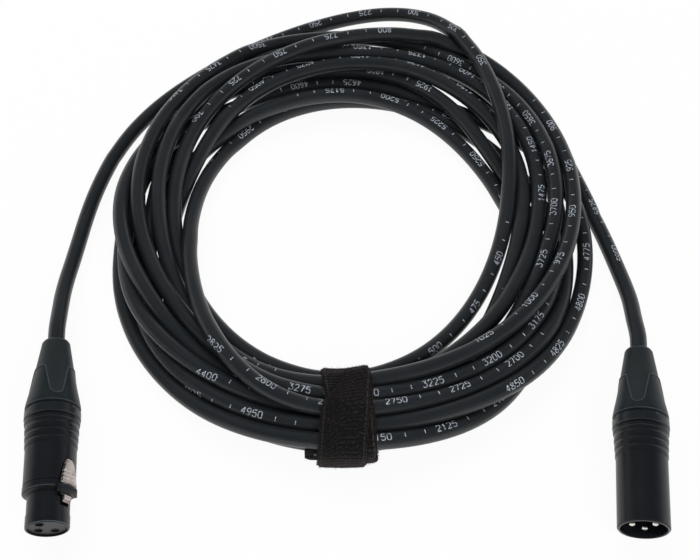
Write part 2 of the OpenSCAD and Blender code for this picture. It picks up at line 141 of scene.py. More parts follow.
def slab_corners(rows, columns):
    """Quads round a slab, each corner as (level, row, column); level 1 is its upper side."""
    for r in range(rows):
        for c in range(columns):
            yield (1, r, c), (1, r, c + 1), (1, r + 1, c + 1), (1, r + 1, c)
            yield (0, r + 1, c), (0, r + 1, c + 1), (0, r, c + 1), (0, r, c)
        yield (0, r, 0), (1, r, 0), (1, r + 1, 0), (0, r + 1, 0)
        yield (0, r + 1, columns), (1, r + 1, columns), (1, r, columns), (0, r, columns)
    for c in range(columns):
        yield (0, 0, c), (0, 0, c + 1), (1, 0, c + 1), (1, 0, c)
        yield (1, rows, c), (1, rows, c + 1), (0, rows, c + 1), (0, rows, c)


def swept_points(line, radius, sides):
    """Rings of a round tube along a line, the first point of each ring on its upper side."""
    _, side, up = frames_along(line)
    turn = (2 * math.pi * np.arange(sides) / sides)[None, :, None]
    ring = np.cos(turn) * up[:, None, :] + np.sin(turn) * side[:, None, :]
    return (line[:, None, :] + radius * ring).reshape(-1, 3)


def eased(share):
    """A share from 0 to 1 that leaves and arrives gently."""
    return share * share * (3 - 2 * share)


# ---- where the plugs lie

AXIS_HEIGHT = 10.25  # millimetres, as are the next ones
SOCKET_AT, SOCKET_TURN = (-111.75, -56.3), 6.0
PIN_AT, PIN_TURN = (112.05, -59.9), -6.8
LATCH_ROLL, BOOT_ROLL, PIN_ROLL = 61.0, 20.0, -18.0  # turns from straight up, clockwise seen at the front
JACKET_END = 26.0  # the jacket reaches this far into each plug


def plug_matrix(at, turn, roll=0.0):
    """From a plug's own frame, +Z along it to the mating face and +Y to its key, to the part's."""
    return (
        Matrix.Translation(Vector((at[0], at[1], AXIS_HEIGHT)) * MM)
        @ Matrix.Rotation(math.radians(turn), 4, "Z")
        @ Matrix.Rotation(math.radians(90), 4, "X")
        @ Matrix.Rotation(math.radians(-roll), 4, "Z")
    )


SOCKET_FRAME = plug_matrix(SOCKET_AT, SOCKET_TURN, BOOT_ROLL)
LATCH_FRAME = plug_matrix(SOCKET_AT, SOCKET_TURN, LATCH_ROLL)
PIN_FRAME = plug_matrix(PIN_AT, PIN_TURN, PIN_ROLL)


def along_plug(matrix, distance):
    """The point on a plug's axis at this many millimetres from its cable end."""
    return matrix @ Vector((0.0, 0.0, distance * MM))


# ---- the cable's lay

CABLE_D = 6.4  # millimetres, as is everything in this section
CABLE_R = CABLE_D / 2
CABLE_STEP = 3.2
COIL_MIDDLE = (-0.6, -0.8)
PLAN_HEIGHT = 8.0  # the plan is drawn as it looks from the camera on a sheet at this height

# From the socket plug: along the left side, round the back and up on to the coil
SOCKET_ROUTE = (
    (-112.8, -44, 9.2), (-113.4, -30, 6.6), (-112.6, -15, 4.2), (-111.2, 0, 3.2), (-109, 16, 3.2),
    (-105.4, 32, 3.2), (-100, 48, 3.2), (-92.6, 62.4, 3.2), (-83, 75, 3.2), (-71, 85.4, 3.2),
    (-58, 96, 3.2), (-44, 106, 3.2), (-30, 114.4, 3.2), (-15.6, 121.2, 3.2), (0, 126.2, 3.2),
    (14, 128.2, 3.6), (28, 125.8, 5), (40.4, 119.8, 6.4),
)
# From the pin plug: up the right side and under the coil's edge
PIN_ROUTE = (
    (112.8, -46, 9), (113, -36, 7), (112, -25, 5), (110, -13.6, 3.8), (107.2, -1, 3.2),
    (103.6, 11.6, 3.2),
)
# The first part turn, as angle from the coil's middle, distance from it and layer, 0 on the floor
FIRST_STRETCH = (
    (65.7, 120.4, 3), (61.6, 116.2, 4), (58, 111.8, 5), (45, 95.8, 5), (30, 82, 5), (15, 72, 4), (0, 66, 2),
    (-30, 62.7, 0), (-60, 67.7, 0), (-82, 70.5, 0),
)
# Each turn then runs clockwise from the strap, all round and back to it: distances and layers
TURN_ANGLES = (262, 240, 210, 180, 150, 120, 90, 60, 30, 0, -30, -60, -82)
TURNS = (
    ((72.9, 70.5, 69.4, 69.9, 80.5, 96, 110, 115.9, 104.3, 92.4, 81.2, 73.6, 72),
     (0, 0, 0, 1, 2, 2, 3, 1, 2, 3, 3, 3, 3)),
    ((75.3, 75.6, 72, 75.6, 88.4, 102.6, 101.7, 102.8, 92, 78.6, 73.5, 74, 76.5),
     (1, 1, 1, 1, 1, 1, 1, 1, 2, 2, 1, 0, 0)),
    ((79.3, 79.5, 82.6, 91.4, 97.7, 91, 89, 85.3, 72, 79.5, 90.5, 98.5, 94.4),
     (0, 0, 1, 2, 1, 0, 0, 1, 1, 0, 0, 1, 2)),
    ((95.4, 97.5, 94.5, 91.5, 97, 102.8, 101, 97.5, 94.8, 88.8, 94.3, 87.3, 81.6),
     (1, 1, 0, 0, 0, 0, 1, 1, 0, 0, 1, 2, 2)),
    ((85.1, 77, 67, 64.8, 68, 70.8, 71, 73, 77, 87.5, 88, 80.7, 75.8),
     (2, 3, 3, 2, 1, 0, 0, 0, 0, 1, 2, 2, 2)),
    ((79.9, 79, 75.5, 83.5, 96.5, 108.5, 110.5, 108.6, 98, 85.5, 77.5, 86, 88.7),
     (1, 2, 1, 2, 2, 2, 1, 1, 2, 2, 0, 0, 0)),
    ((90.5, 86, 79, 73, 72, 85.5, 94, 92, 83.5, 71.5, 69.8, 80, 82.5),
     (0, 0, 0, 0, 1, 2, 2, 1, 2, 1, 0, 0, 0)),
    ((85.5, 84.5, 89.5, 89.6, 88.3, 81.2, 84.2, 79.5, 92, 99.3, 98.5, 93.7, 88),
     (0, 1, 2, 1, 0, 0, 0, 0, 0, 1, 2, 3, 2)),
    ((89.5, 90.5, 92.8, 86.5, 75.5, 72.5, 76, 71, 67.3, 73, 86, 99.4, 97),
     (1, 1, 1, 0, 0, 0, 0, 1, 1, 0, 0, 0, 1)),
    ((97.5, 97.5, 86.4, 80.6, 85.6, 96.4, 97.5, 107, 105), (0,) * 9),
)

SPLINE_MOST = 400  # points that one spline is drawn through; a longer line is read off straight
STRAP_LIFT = 2.3  # the tied bundle lies on two layers of strap
STRAP_HALF = 12.0
STRAP_SIDE = -40.0  # the strap lies on this side of the coil, towards -Y
LIFT_FADE = 45.0
SETTLE_ROUNDS, EARLY_ROUNDS = 500, 400
SINK_EARLY, SINK_LATE = 0.12, 0.02  # how far the cable sinks each round
HOLD_EARLY, HOLD_LATE = 0.1, 0.05  # share of the way back to its plan
BEND_REACHES, STIFFNESS = (1, 2, 4, 6), 0.05
TOUCH_GAP, LOOK_AROUND = 0.02, 2.5
PUSH_TIMES, PUSH_SHARE = 4, 0.9
FIXED_AT_SOCKET, FIXED_AT_PIN = 126.0, 96.0  # the ends that keep exactly to the plan


def spline_through(points, at, where):
    """A natural cubic spline through points given at `at`, read off at `where`."""
    count, gaps = len(points), np.diff(at)
    left, right = np.eye(count), np.zeros_like(points)
    for i in range(1, count - 1):
        left[i, i - 1 : i + 2] = gaps[i - 1], 2 * (gaps[i - 1] + gaps[i]), gaps[i]
        right[i] = 6 * ((points[i + 1] - points[i]) / gaps[i] - (points[i] - points[i - 1]) / gaps[i - 1])
    bend = np.linalg.solve(left, right)
    k = np.clip(np.searchsorted(at, where, side="right") - 1, 0, count - 2)
    gap = gaps[k][:, None]
    a = (at[k + 1] - where)[:, None] / gap
    b = 1 - a
    straight = a * points[k] + b * points[k + 1]
    return straight + ((a**3 - a) * bend[k] + (b**3 - b) * bend[k + 1]) * gap**2 / 6


def length_along(points):
    """Distance of each point from the first, along the line through them."""
    steps = np.linalg.norm(np.diff(points[:, :3], axis=0), axis=1)
    return np.concatenate([[0.0], np.cumsum(steps)])


def read_along(points, run, where):
    """A line's points at these distances along it, straight between those that it has."""
    return np.stack([np.interp(where, run, column) for column in points.T], axis=1)


def evenly_spaced(points, step):
    """The same line with its points one step apart."""
    run = length_along(points)
    where = np.linspace(0.0, run[-1], int(round(run[-1] / step)) + 1)
    if len(points) < SPLINE_MOST:
        return spline_through(points, run, where)
    return read_along(points, run, where)


def cable_plan():
    """The cable's plan from plug to plug: x, y, height, and 1 where it is drawn as the camera sees it."""

    def by_angle(angle, distance, layer):
        a = math.radians(angle)
        x, y = COIL_MIDDLE[0] + distance * math.cos(a), COIL_MIDDLE[1] + distance * math.sin(a)
        return x, y, CABLE_R + CABLE_D * layer, 1.0

    def in_plug(matrix, distances):
        return [(*(along_plug(matrix, d) / MM), 0.0) for d in distances]

    plan = in_plug(SOCKET_FRAME, (JACKET_END, JACKET_END / 2, 0.0, -6.0))
    plan += [(*p, 0.0) for p in SOCKET_ROUTE]
    plan += [by_angle(*stretch) for stretch in FIRST_STRETCH]
    for distances, layers in TURNS:
        plan += [by_angle(*station) for station in zip(TURN_ANGLES, distances, layers)]
    plan += [(*p, 0.0) for p in reversed(PIN_ROUTE)]
    plan += in_plug(PIN_FRAME, (-6.0, 0.0, JACKET_END / 2, JACKET_END))
    return evenly_spaced(evenly_spaced(np.array(plan, float), CABLE_STEP), CABLE_STEP)


def pairs_within(points, reach):
    """Index pairs of points that lie nearer than reach, apart from neighbours along the cable."""
    index = np.arange(len(points))
    cell = np.floor(points / reach).astype(int)
    cell -= cell.min(0)
    size = cell.max(0) + 3

    def key_of(c):
        return (c[:, 0] * size[1] + c[:, 1]) * size[2] + c[:, 2]

    order = np.argsort(key_of(cell), kind="stable")
    keys = key_of(cell)[order]
    found = []
    for offset in np.ndindex(3, 3, 3):
        wanted = key_of(cell + np.array(offset) - 1)
        first = np.searchsorted(keys, wanted, "left")
        many = np.searchsorted(keys, wanted, "right") - first
        for j in range(many.max()):
            here = many > j
            mine, other = index[here], order[first[here] + j]
            keep = other > mine + 4
            found.append(np.stack([mine[keep], other[keep]], axis=1))
    pairs = np.concatenate(found)
    apart = np.linalg.norm(points[pairs[:, 0]] - points[pairs[:, 1]], axis=1)
    return pairs[apart < reach]


def lowest_height(x, y):
    """Height of the cable's centreline where it lies on the floor, or on the strap under the tie."""
    away = np.clip((np.abs(x) - STRAP_HALF) / LIFT_FADE, 0.0, 1.0)
    lift = STRAP_LIFT * (1 - eased(away))
    return CABLE_R + np.where(y < STRAP_SIDE, lift, 0.0)


def settle(plan):
    """Lets the cable sink, bend smoothly and lie on itself, while it keeps to its plan."""
    at = plan[:, :3].copy()
    at[:, 2] = np.maximum(at[:, 2], lowest_height(at[:, 0], at[:, 1]))
    run = length_along(at)
    free = ((run > FIXED_AT_SOCKET) & (run < run[-1] - FIXED_AT_PIN)).astype(float)[:, None]
    seen = np.clip(plan[:, 3], 0.0, 1.0)
    slant = (plan[:, 1] - CAMERA_AT.y / MM) / (CAMERA_AT.z / MM - PLAN_HEIGHT)
    touching = CABLE_D + TOUCH_GAP
    for turn in range(SETTLE_ROUNDS):
        late = turn > EARLY_ROUNDS
        if turn % 6 == 0:
            pairs = pairs_within(at, touching + LOOK_AROUND)
        at[:, 2] -= free[:, 0] * (SINK_LATE if late else SINK_EARLY)
        for reach in BEND_REACHES:
            bent = at[: -4 * reach] - 4 * at[reach : -3 * reach] + 6 * at[2 * reach : -2 * reach]
            bent += at[4 * reach :] - 4 * at[3 * reach : -reach]
            at[2 * reach : -2 * reach] -= free[2 * reach : -2 * reach] * STIFFNESS * bent
        wanted = plan[:, :2].copy()
        wanted[:, 1] -= seen * (at[:, 2] - PLAN_HEIGHT) * slant
        at[:, :2] += free * (HOLD_LATE if late else HOLD_EARLY) * (wanted - at[:, :2])
        for _ in range(PUSH_TIMES):
            i, j = pairs.T
            between = at[j] - at[i]
            apart = np.linalg.norm(between, axis=1)
            close = apart < touching
            i, j, between, apart = i[close], j[close], between[close], apart[close, None]
            push = (touching - apart) * between / (apart + 1e-9)
            share = free[i] + free[j] + 1e-9
            move, count = np.zeros_like(at), np.zeros(len(at))
            for mine, way in ((i, -push), (j, push)):
                np.add.at(move, mine, way * free[mine] / share)
                np.add.at(count, mine, 1)
            at += PUSH_SHARE * move / np.sqrt(np.maximum(1, count))[:, None]
            at[:, 2] = np.maximum(at[:, 2], lowest_height(at[:, 0], at[:, 1]))
    return at


# ---- shader groups
# A function that is given a socket makes its node in that socket's own tree


def connect(value, socket):
    """Links a node's output to an input, or sets the input; a colour may leave out its alpha."""
    if isinstance(value, bpy.types.NodeSocket):
        socket.id_data.links.new(value, socket)
    elif socket.type == "RGBA":
        socket.default_value = (*value[:3], 1.0)
    else:
        socket.default_value = value


def feed(made, **inputs):
    """Connects a node's inputs by name, with _ for a space."""
    for label, value in inputs.items():
        connect(value, made.inputs[label.replace("_", " ")])


def node_in(tree, kind, settings=None, **inputs):
    made = tree.nodes.new(kind)
    for name, value in (settings or {}).items():
        setattr(made, name, value)
    feed(made, **inputs)
    return made


def in_order(made, *values):
    """Connects a node's inputs from the first one on, and gives its first output."""
    for value, socket in zip(values, made.inputs):
        connect(value, socket)
    return made.outputs[0]


def group_named(name, inputs, outputs):
    """A new shader group, its inputs' sockets and its end node.

    inputs are (name, socket type, value) and outputs (name, socket type).
    """
    group = bpy.data.node_groups.new(name, "ShaderNodeTree")
    for label, kind, value in inputs:
        group.interface.new_socket(label, in_out="INPUT", socket_type=kind).default_value = value
    for label, kind in outputs:
        group.interface.new_socket(label, in_out="OUTPUT", socket_type=kind)
    return group, group.nodes.new("NodeGroupInput").outputs, group.nodes.new("NodeGroupOutput")


FLOAT, COLOUR, VECTOR = "NodeSocketFloat", "NodeSocketColor", "NodeSocketVector"
BLACK, ORIGIN = (0, 0, 0, 1), (0, 0, 0)


def noise_in(vector, scale, detail=3.0, rough=0.55):
    made = node_in(vector.id_data, "ShaderNodeTexNoise", Vector=vector, Scale=scale, Detail=detail,
                   Roughness=rough)
    return made.outputs["Fac"]


def maths(operation, a, b=0.0, clamp=False):
    made = node_in(a.id_data, "ShaderNodeMath", {"operation": operation, "use_clamp": clamp})
    return in_order(made, a, b)


def times(a, b, clamp=False):
    return maths("MULTIPLY", a, b, clamp)


def plus(a, b, clamp=False):
    return maths("ADD", a, b, clamp)


def spread_over(value, low, high, to_low=0.0, to_high=1.0):
    """A value between low and high, read off from to_low to to_high."""
    made = node_in(value.id_data, "ShaderNodeMapRange", {"clamp": True})
    return in_order(made, value, low, high, to_low, to_high)


def mixed_colour(share, a, b):
    made = node_in(share.id_data, "ShaderNodeMix", {"data_type": "RGBA"})
    for place, value in ((0, share), (6, a), (7, b)):
        connect(value, made.inputs[place])
    return made.outputs[2]


def make_handling_group():
    """Faint smears and lighter rubbed patches, for whatever has been handled."""
    group, start, end = group_named(
        "handling_marks",
        (("Vector", VECTOR, ORIGIN), ("Clean", COLOUR, BLACK), ("Rubbed", COLOUR, BLACK),
         ("Amount", FLOAT, 0.5), ("Scale", FLOAT, 60.0), ("Roughness", FLOAT, 0.4), ("Spread", FLOAT, 0.1)),
        (("Colour", COLOUR), ("Roughness", FLOAT)),
    )
    where, scale = start["Vector"], start["Scale"]
    broad = noise_in(where, scale, 4.0, 0.6)
    fine = noise_in(where, times(scale, 23.0), 3.0, 0.7)
    patch = spread_over(broad, 0.42, 0.72)
    speck = spread_over(fine, 0.5, 0.75)
    mask = times(plus(patch, times(speck, 0.6)), 0.6)
    share = times(mask, start["Amount"], clamp=True)
    swing = times(maths("SUBTRACT", broad, 0.5), start["Spread"])
    rough = plus(start["Roughness"], times(swing, 2.0), clamp=True)
    feed(end, Colour=mixed_colour(share, start["Clean"], start["Rubbed"]), Roughness=rough)
    return group


def make_grain_group():
    """Fine moulded or sprayed grain, as a height."""
    group, start, end = group_named(
        "moulded_grain",
        (("Vector", VECTOR, ORIGIN), ("Scale", FLOAT, 2500.0), ("Pits", FLOAT, 0.3)),
        (("Height", FLOAT),),
    )
    where, scale = start["Vector"], start["Scale"]
    grain = noise_in(where, scale, 2.0, 0.5)
    cells = node_in(group, "ShaderNodeTexVoronoi", Vector=where, Scale=times(scale, 0.55))
    pits = times(spread_over(cells.outputs["Distance"], 0.0, 0.35), start["Pits"])
    feed(end, Height=plus(grain, pits))
    return group


def make_lines_group():
    """Long fine lines from a die or a brush; Stretch is their scale on each axis, small along them."""
    group, start, end = group_named(
        "drawn_lines",
        (("Vector", VECTOR, ORIGIN), ("Stretch", VECTOR, (1, 1, 1))),
        (("Height", FLOAT), ("Mask", FLOAT)),
    )
    stretched = node_in(group, "ShaderNodeVectorMath", {"operation": "MULTIPLY"})
    lines = noise_in(in_order(stretched, start["Vector"], start["Stretch"]), 1.0, 3.0, 0.6)
    feed(end, Height=lines, Mask=spread_over(lines, 0.56, 0.7))
    return group


def make_pile_group():
    """Rows of small loops with paler flecks, for the strap. Its vector runs across and along, in metres."""
    group, start, end = group_named(
        "loop_pile",
        (("Vector", VECTOR, ORIGIN), ("Dark", COLOUR, BLACK), ("Fleck", COLOUR, BLACK),
         ("Row", FLOAT, 0.0015)),
        (("Colour", COLOUR), ("Height", FLOAT), ("Roughness", FLOAT)),
    )
    where = start["Vector"]
    split = node_in(group, "ShaderNodeSeparateXYZ", Vector=where)
    along = plus(split.outputs["Y"], times(noise_in(where, 700.0, 2.0), 0.0007))
    turns = times(maths("DIVIDE", along, start["Row"]), 2 * math.pi)
    rows = times(plus(maths("SINE", turns), 1.0), 0.5)
    loops = node_in(group, "ShaderNodeTexVoronoi", Vector=where, Scale=1500.0).outputs["Distance"]
    tufts = noise_in(where, 1250.0, 3.0, 0.65)
    hairs = noise_in(where, 4200.0, 4.0, 0.75)
    height = times(rows, 0.8)
    for part, share in ((tufts, 1.1), (loops, 0.5), (hairs, 0.4)):
        height = plus(height, times(part, share))
    tips = plus(times(tufts, 0.6), times(hairs, 0.4))
    on_rows = plus(times(rows, 0.75), 0.25)
    fleck = times(spread_over(tips, 0.49, 0.66), on_rows)
    feed(end, Colour=mixed_colour(fleck, start["Dark"], start["Fleck"]), Height=height,
         Roughness=spread_over(hairs, 0.3, 0.8, 0.72, 0.98))
    return group


HANDLING = make_handling_group()
GRAIN = make_grain_group()
LINES = make_lines_group()
PILE = make_pile_group()


# ---- materials


def new_finish(name, **values):
    """A material, its node tree and its Principled shader, with the shader's plain values."""
    made = bpy.data.materials.new(name)
    made.use_nodes = True
    shader = made.node_tree.nodes["Principled BSDF"]
    feed(shader, **values)
    return made, made.node_tree, shader


def place_group(group, vector, **inputs):
    return node_in(vector.id_data, "ShaderNodeGroup", {"node_tree": group}, Vector=vector, **inputs).outputs


def relief(height, depth):
    """The normal of a surface with this height on it; depth is how deep, in metres, a height of 1 is."""
    made = node_in(height.id_data, "ShaderNodeBump", Strength=1.0, Distance=depth, Height=height)
    return made.outputs["Normal"]


def object_space(tree):
    return node_in(tree, "ShaderNodeTexCoord").outputs["Object"]


def lengthwise_space(tree):
    """Across and along the piece, from its own UV map."""
    return node_in(tree, "ShaderNodeUVMap", {"uv_map": "lengthwise"}).outputs["UV"]


def moulded(name, clean, rubbed, roughness, grain, depth, amount=0.5, scale=70.0, **values):
    """Moulded or painted: fine grain, faint handling marks."""
    made, tree, shader = new_finish(name, **values)
    where = object_space(tree)
    marks = place_group(HANDLING, where, Clean=clean, Rubbed=rubbed, Amount=amount, Scale=scale,
                        Roughness=roughness, Spread=0.08)
    normal = relief(place_group(GRAIN, where, Scale=grain)["Height"], depth)
    feed(shader, Base_Color=marks["Colour"], Roughness=marks["Roughness"], Normal=normal)
    return made


def plated(name, clean, dull_and_shade, roughness, matrix, lines=(9000.0, 9000.0, 300.0)):
    """Plated metal with brush lines along the plug's own axis and dull patches, which on the latch are
    partly painted shade.
    """
    made, tree, shader = new_finish(name, Metallic=1.0)
    turn = matrix.to_3x3().inverted().to_euler()
    turned = node_in(tree, "ShaderNodeMapping", {"vector_type": "POINT"}, Vector=object_space(tree),
                     Rotation=turn)
    where = turned.outputs["Vector"]
    marks = place_group(HANDLING, where, Clean=clean, Rubbed=dull_and_shade, Amount=0.8, Scale=260.0,
                        Roughness=roughness, Spread=0.12)
    normal = relief(place_group(LINES, where, Stretch=lines)["Height"], 0.000004)
    feed(shader, Base_Color=marks["Colour"], Roughness=marks["Roughness"], Normal=normal)
    return made


def speckled(name, dark, pale, noise, turns_pale, **values):
    """Two tones in specks: noise is their scale and detail, turns_pale where one tone becomes the other."""
    made, tree, shader = new_finish(name, **values)
    share = spread_over(noise_in(object_space(tree), *noise), *turns_pale)
    feed(shader, Base_Color=mixed_colour(share, dark, pale))
    return made


def make_jacket():
    """The cable's soft black jacket, with die lines along it and a little dust."""
    made, tree, shader = new_finish("cable_jacket", Specular_IOR_Level=0.5)
    where = object_space(tree)
    lines = place_group(LINES, lengthwise_space(tree), Stretch=(46.0, 18.0, 1.0))
    marks = place_group(HANDLING, where, Clean=(0.0125, 0.0152, 0.0175), Rubbed=(0.026, 0.029, 0.032),
                        Amount=0.4, Scale=48.0, Roughness=0.34, Spread=0.1)
    colour = mixed_colour(times(lines["Mask"], 0.22), marks["Colour"], (0.034, 0.036, 0.038))
    grain = place_group(GRAIN, where, Scale=2600.0, Pits=0.2)["Height"]
    normal = relief(plus(grain, lines["Height"]), 0.000022)
    feed(shader, Base_Color=colour, Roughness=marks["Roughness"], Normal=normal)
    return made


SELVAGE = 7.55 * MM  # each woven edge of the strap lies beyond this line from its middle
CUT_LINE = 1.3 * MM  # and a paler line, a painted highlight that marks the step at its cut end, lies this far from that end


def make_strap_cloth():
    """Near-black pile between two woven edges, each with a thin paler line, and a line of painted highlight
    near the cut end.
    """
    made, tree, shader = new_finish("strap_fabric", Specular_IOR_Level=0.2, Sheen_Weight=0.05,
                                    Sheen_Roughness=0.6, Sheen_Tint=(0.62, 0.4, 0.33))
    where = lengthwise_space(tree)
    pile = place_group(PILE, where, Row=0.0015, Dark=(0.0032, 0.0034, 0.0039),
                       Fleck=(0.05, 0.05, 0.053))
    split = node_in(tree, "ShaderNodeSeparateXYZ", Vector=where).outputs
    from_middle = maths("ABSOLUTE", split["X"])
    from_selvage = maths("ABSOLUTE", maths("SUBTRACT", from_middle, SELVAGE))
    # the paler line near the cut end is painted highlight that marks the step where the strap ends
    from_cut = maths("ABSOLUTE", plus(split["Y"], CUT_LINE))
    off = maths("MINIMUM", from_selvage, times(from_cut, 0.6))
    line = spread_over(off, 0.00012, 0.00034, 1.0, 0.0)
    broken = spread_over(noise_in(where, 1300.0, 2.0), 0.42, 0.6)
    shown = times(line, times(broken, 0.75))
    normal = relief(maths("SUBTRACT", pile["Height"], times(line, 0.8)), 0.00026)
    feed(shader, Base_Color=mixed_colour(shown, pile["Colour"], (0.06, 0.058, 0.058)),
         Roughness=pile["Roughness"], Normal=normal)
    return made


def insulation(name, clean, rubbed):
    return moulded(name, clean, rubbed, 0.38, 1800.0, 0.000006, scale=200.0)


JACKET = make_jacket()
INK = speckled("jacket_ink", (0.16, 0.18, 0.21), (0.5, 0.54, 0.6), (1500.0, 3.0), (0.38, 0.62),
               Roughness=0.62, Specular_IOR_Level=0.3)
STRAP_CLOTH = make_strap_cloth()
FIBRE = speckled("strap_fibre", (0.0065, 0.0062, 0.0068), (0.1, 0.058, 0.048), (1900.0, 1.0), (0.5, 0.68),
                 Roughness=0.7, Specular_IOR_Level=0.25)
TACK_THREAD = speckled("bar_tack_thread", (0.09, 0.1, 0.11), (0.3, 0.32, 0.34), (2600.0, 2.0), (0.35, 0.65),
                       Roughness=0.6, Specular_IOR_Level=0.3)
# The moulded ones: clean and rubbed colour, roughness, scale and depth of the grain
HOUSING_BLACK = moulded("housing_black", (0.0074, 0.0088, 0.0112), (0.016, 0.0185, 0.022), 0.33,
                        3200.0, 0.000008, amount=0.3, Specular_IOR_Level=0.28)
RING_BLACK = moulded("ring_black", (0.0085, 0.0112, 0.014), (0.02, 0.025, 0.03), 0.34,
                     2400.0, 0.000012, amount=0.4, Specular_IOR_Level=0.4)
BUSHING_BLACK = moulded("bushing_black", (0.0096, 0.0138, 0.0166), (0.022, 0.029, 0.034), 0.4,
                        2200.0, 0.000014, amount=0.45, Specular_IOR_Level=0.2)
LIP_GREY = moulded("bushing_lip", (0.026, 0.033, 0.037), (0.05, 0.06, 0.066), 0.4, 2200.0, 0.000008)
# painted highlight: the pale beads that stand for the light caught along the plugs' turned edges
EDGE_HIGHLIGHT = moulded("painted_edge_highlight", (0.06, 0.072, 0.082), (0.13, 0.148, 0.16), 0.3, 2600.0, 0.000006,
                    amount=0.8)
BOOT_GREY = moulded("boot_rubber", (0.0115, 0.0155, 0.0175), (0.027, 0.033, 0.037), 0.5,
                    1700.0, 0.000026, Specular_IOR_Level=0.36)
INSERT_BLACK = moulded("insert_black", (0.0125, 0.0128, 0.0135), (0.03, 0.031, 0.033), 0.5, 1900.0, 0.000014)
CHUCK_GREY = moulded("chuck_grey", (0.035, 0.036, 0.038), (0.06, 0.062, 0.065), 0.5, 1500.0, 0.000016)
# the latch's dark dull patches are partly painted shade, standing for the shadows of its pad's reliefs, and
# partly handling marks
NICKEL = plated("latch_nickel", (0.58, 0.525, 0.495), (0.15, 0.128, 0.118), 0.22, LATCH_FRAME)
STEEL = plated("spring_steel", (0.68, 0.68, 0.69), (0.5, 0.5, 0.5), 0.24, LATCH_FRAME)
SILVER_SOCKET = plated("contact_silver_socket", (0.8, 0.77, 0.7), (0.55, 0.5, 0.42), 0.22, LATCH_FRAME)
SILVER_PIN = plated("contact_silver_pin", (0.86, 0.83, 0.77), (0.6, 0.55, 0.47), 0.2, PIN_FRAME)
RED_WIRE = insulation("wire_red", (0.42, 0.015, 0.015), (0.5, 0.06, 0.05))
WHITE_WIRE = insulation("wire_white", (0.7, 0.7, 0.68), (0.58, 0.57, 0.54))
COPPER = plated("wire_copper", (0.75, 0.42, 0.24), (0.5, 0.26, 0.15), 0.34, PIN_FRAME,
                lines=(2500.0, 2500.0, 2500.0))

# What each CAD node is finished with; these are on both plugs, after "socket_" and "pin_"
FINISHES = {
    "housing": HOUSING_BLACK, "coding_ring": RING_BLACK, "bushing": BUSHING_BLACK, "boot": BOOT_GREY,
    "insert": INSERT_BLACK, "chuck": CHUCK_GREY, "wire_red": RED_WIRE, "wire_white": WHITE_WIRE,
    "wire_shield": COPPER,
}
FINISHES = {f"{side}_{part}": finish for part, finish in FINISHES.items() for side in ("socket", "pin")}
FINISHES.update({"latch": NICKEL, "latch_pivot": STEEL, "ground_contact": SILVER_PIN})
for number in (1, 2, 3):
    FINISHES[f"socket_contact_{number}"] = SILVER_SOCKET
    FINISHES[f"contact_pin_{number}"] = SILVER_PIN


def finish_cad_nodes():
    for name, finish in FINISHES.items():
        materials = nodes[name].data.materials
        materials.clear()
        materials.append(finish)


# ---- cable and print

JACKET_SIDES = 24
INK_LIFT = 0.025 * MM
INK_WIDTH = 0.34 * MM
DIGIT_HEIGHT = 2.5 * MM
DIGIT_WIDTH = 1.45 * MM
DIGIT_PITCH = 2.15 * MM
STROKE_STEP = 0.4 * MM
SCALE_EVERY = 25  # millimetres between two numbers
TICKS = 2  # short strokes between two numbers
PRINT_PERIOD, PRINT_MARKS = 9, 6  # in each nine places of the scale, six are printed and three left bare
BARE_ENDS = 40.0 * MM  # no print this near to a plug
# The print turns this far round the jacket from its top, at the coil's left side:
# bearings from the coil's middle in degrees, and the share of the turn there
PRINT_AWAY = -6.8 * MM
PRINT_BEARINGS, PRINT_TURNED = (0, 128, 165, 218, 250, 360), (0, 0, 1, 1, 0, 0)
# and it wanders with the cable's own twist: how far, in millimetres, how fast and from where
PRINT_WANDER = ((1.3, 7.1, 0.9), (0.7, 17.3, 2.0))

# The stroke of each digit on a box one wide and one high, as a line through points
DIGITS = {
    "0": ((0.2, 0), (0, 0.2), (0, 0.8), (0.2, 1), (0.8, 1), (1, 0.8), (1, 0.2), (0.8, 0), (0.2, 0)),
    "1": ((0.2, 0.75), (0.6, 1), (0.6, 0)),
    "2": ((0, 0.8), (0.2, 1), (0.8, 1), (1, 0.8), (1, 0.6), (0, 0), (1, 0)),
    "3": ((0, 1), (1, 1), (0.5, 0.6), (0.8, 0.6), (1, 0.4), (1, 0.2), (0.8, 0), (0.2, 0), (0, 0.2)),
    "4": ((0.75, 0), (0.75, 1), (0, 0.3), (1, 0.3)),
    "5": ((1, 1), (0.1, 1), (0, 0.55), (0.8, 0.6), (1, 0.4), (1, 0.2), (0.8, 0), (0.2, 0), (0, 0.15)),
    "6": ((0.9, 0.95), (0.5, 1), (0.1, 0.7), (0, 0.3), (0.2, 0), (0.8, 0), (1, 0.2), (1, 0.4), (0.8, 0.55),
          (0.05, 0.5)),
    "7": ((0, 1), (1, 1), (0.35, 0)),
    "8": ((0.5, 0.54), (0.1, 0.7), (0.1, 0.9), (0.3, 1), (0.7, 1), (0.9, 0.9), (0.9, 0.7), (0.5, 0.54),
          (0, 0.35), (0, 0.15), (0.2, 0), (0.8, 0), (1, 0.15), (1, 0.35), (0.5, 0.54)),
    "9": ((0.1, 0.05), (0.5, 0), (0.9, 0.3), (1, 0.7), (0.8, 1), (0.2, 1), (0, 0.8), (0, 0.6), (0.2, 0.45),
          (0.95, 0.5)),
}


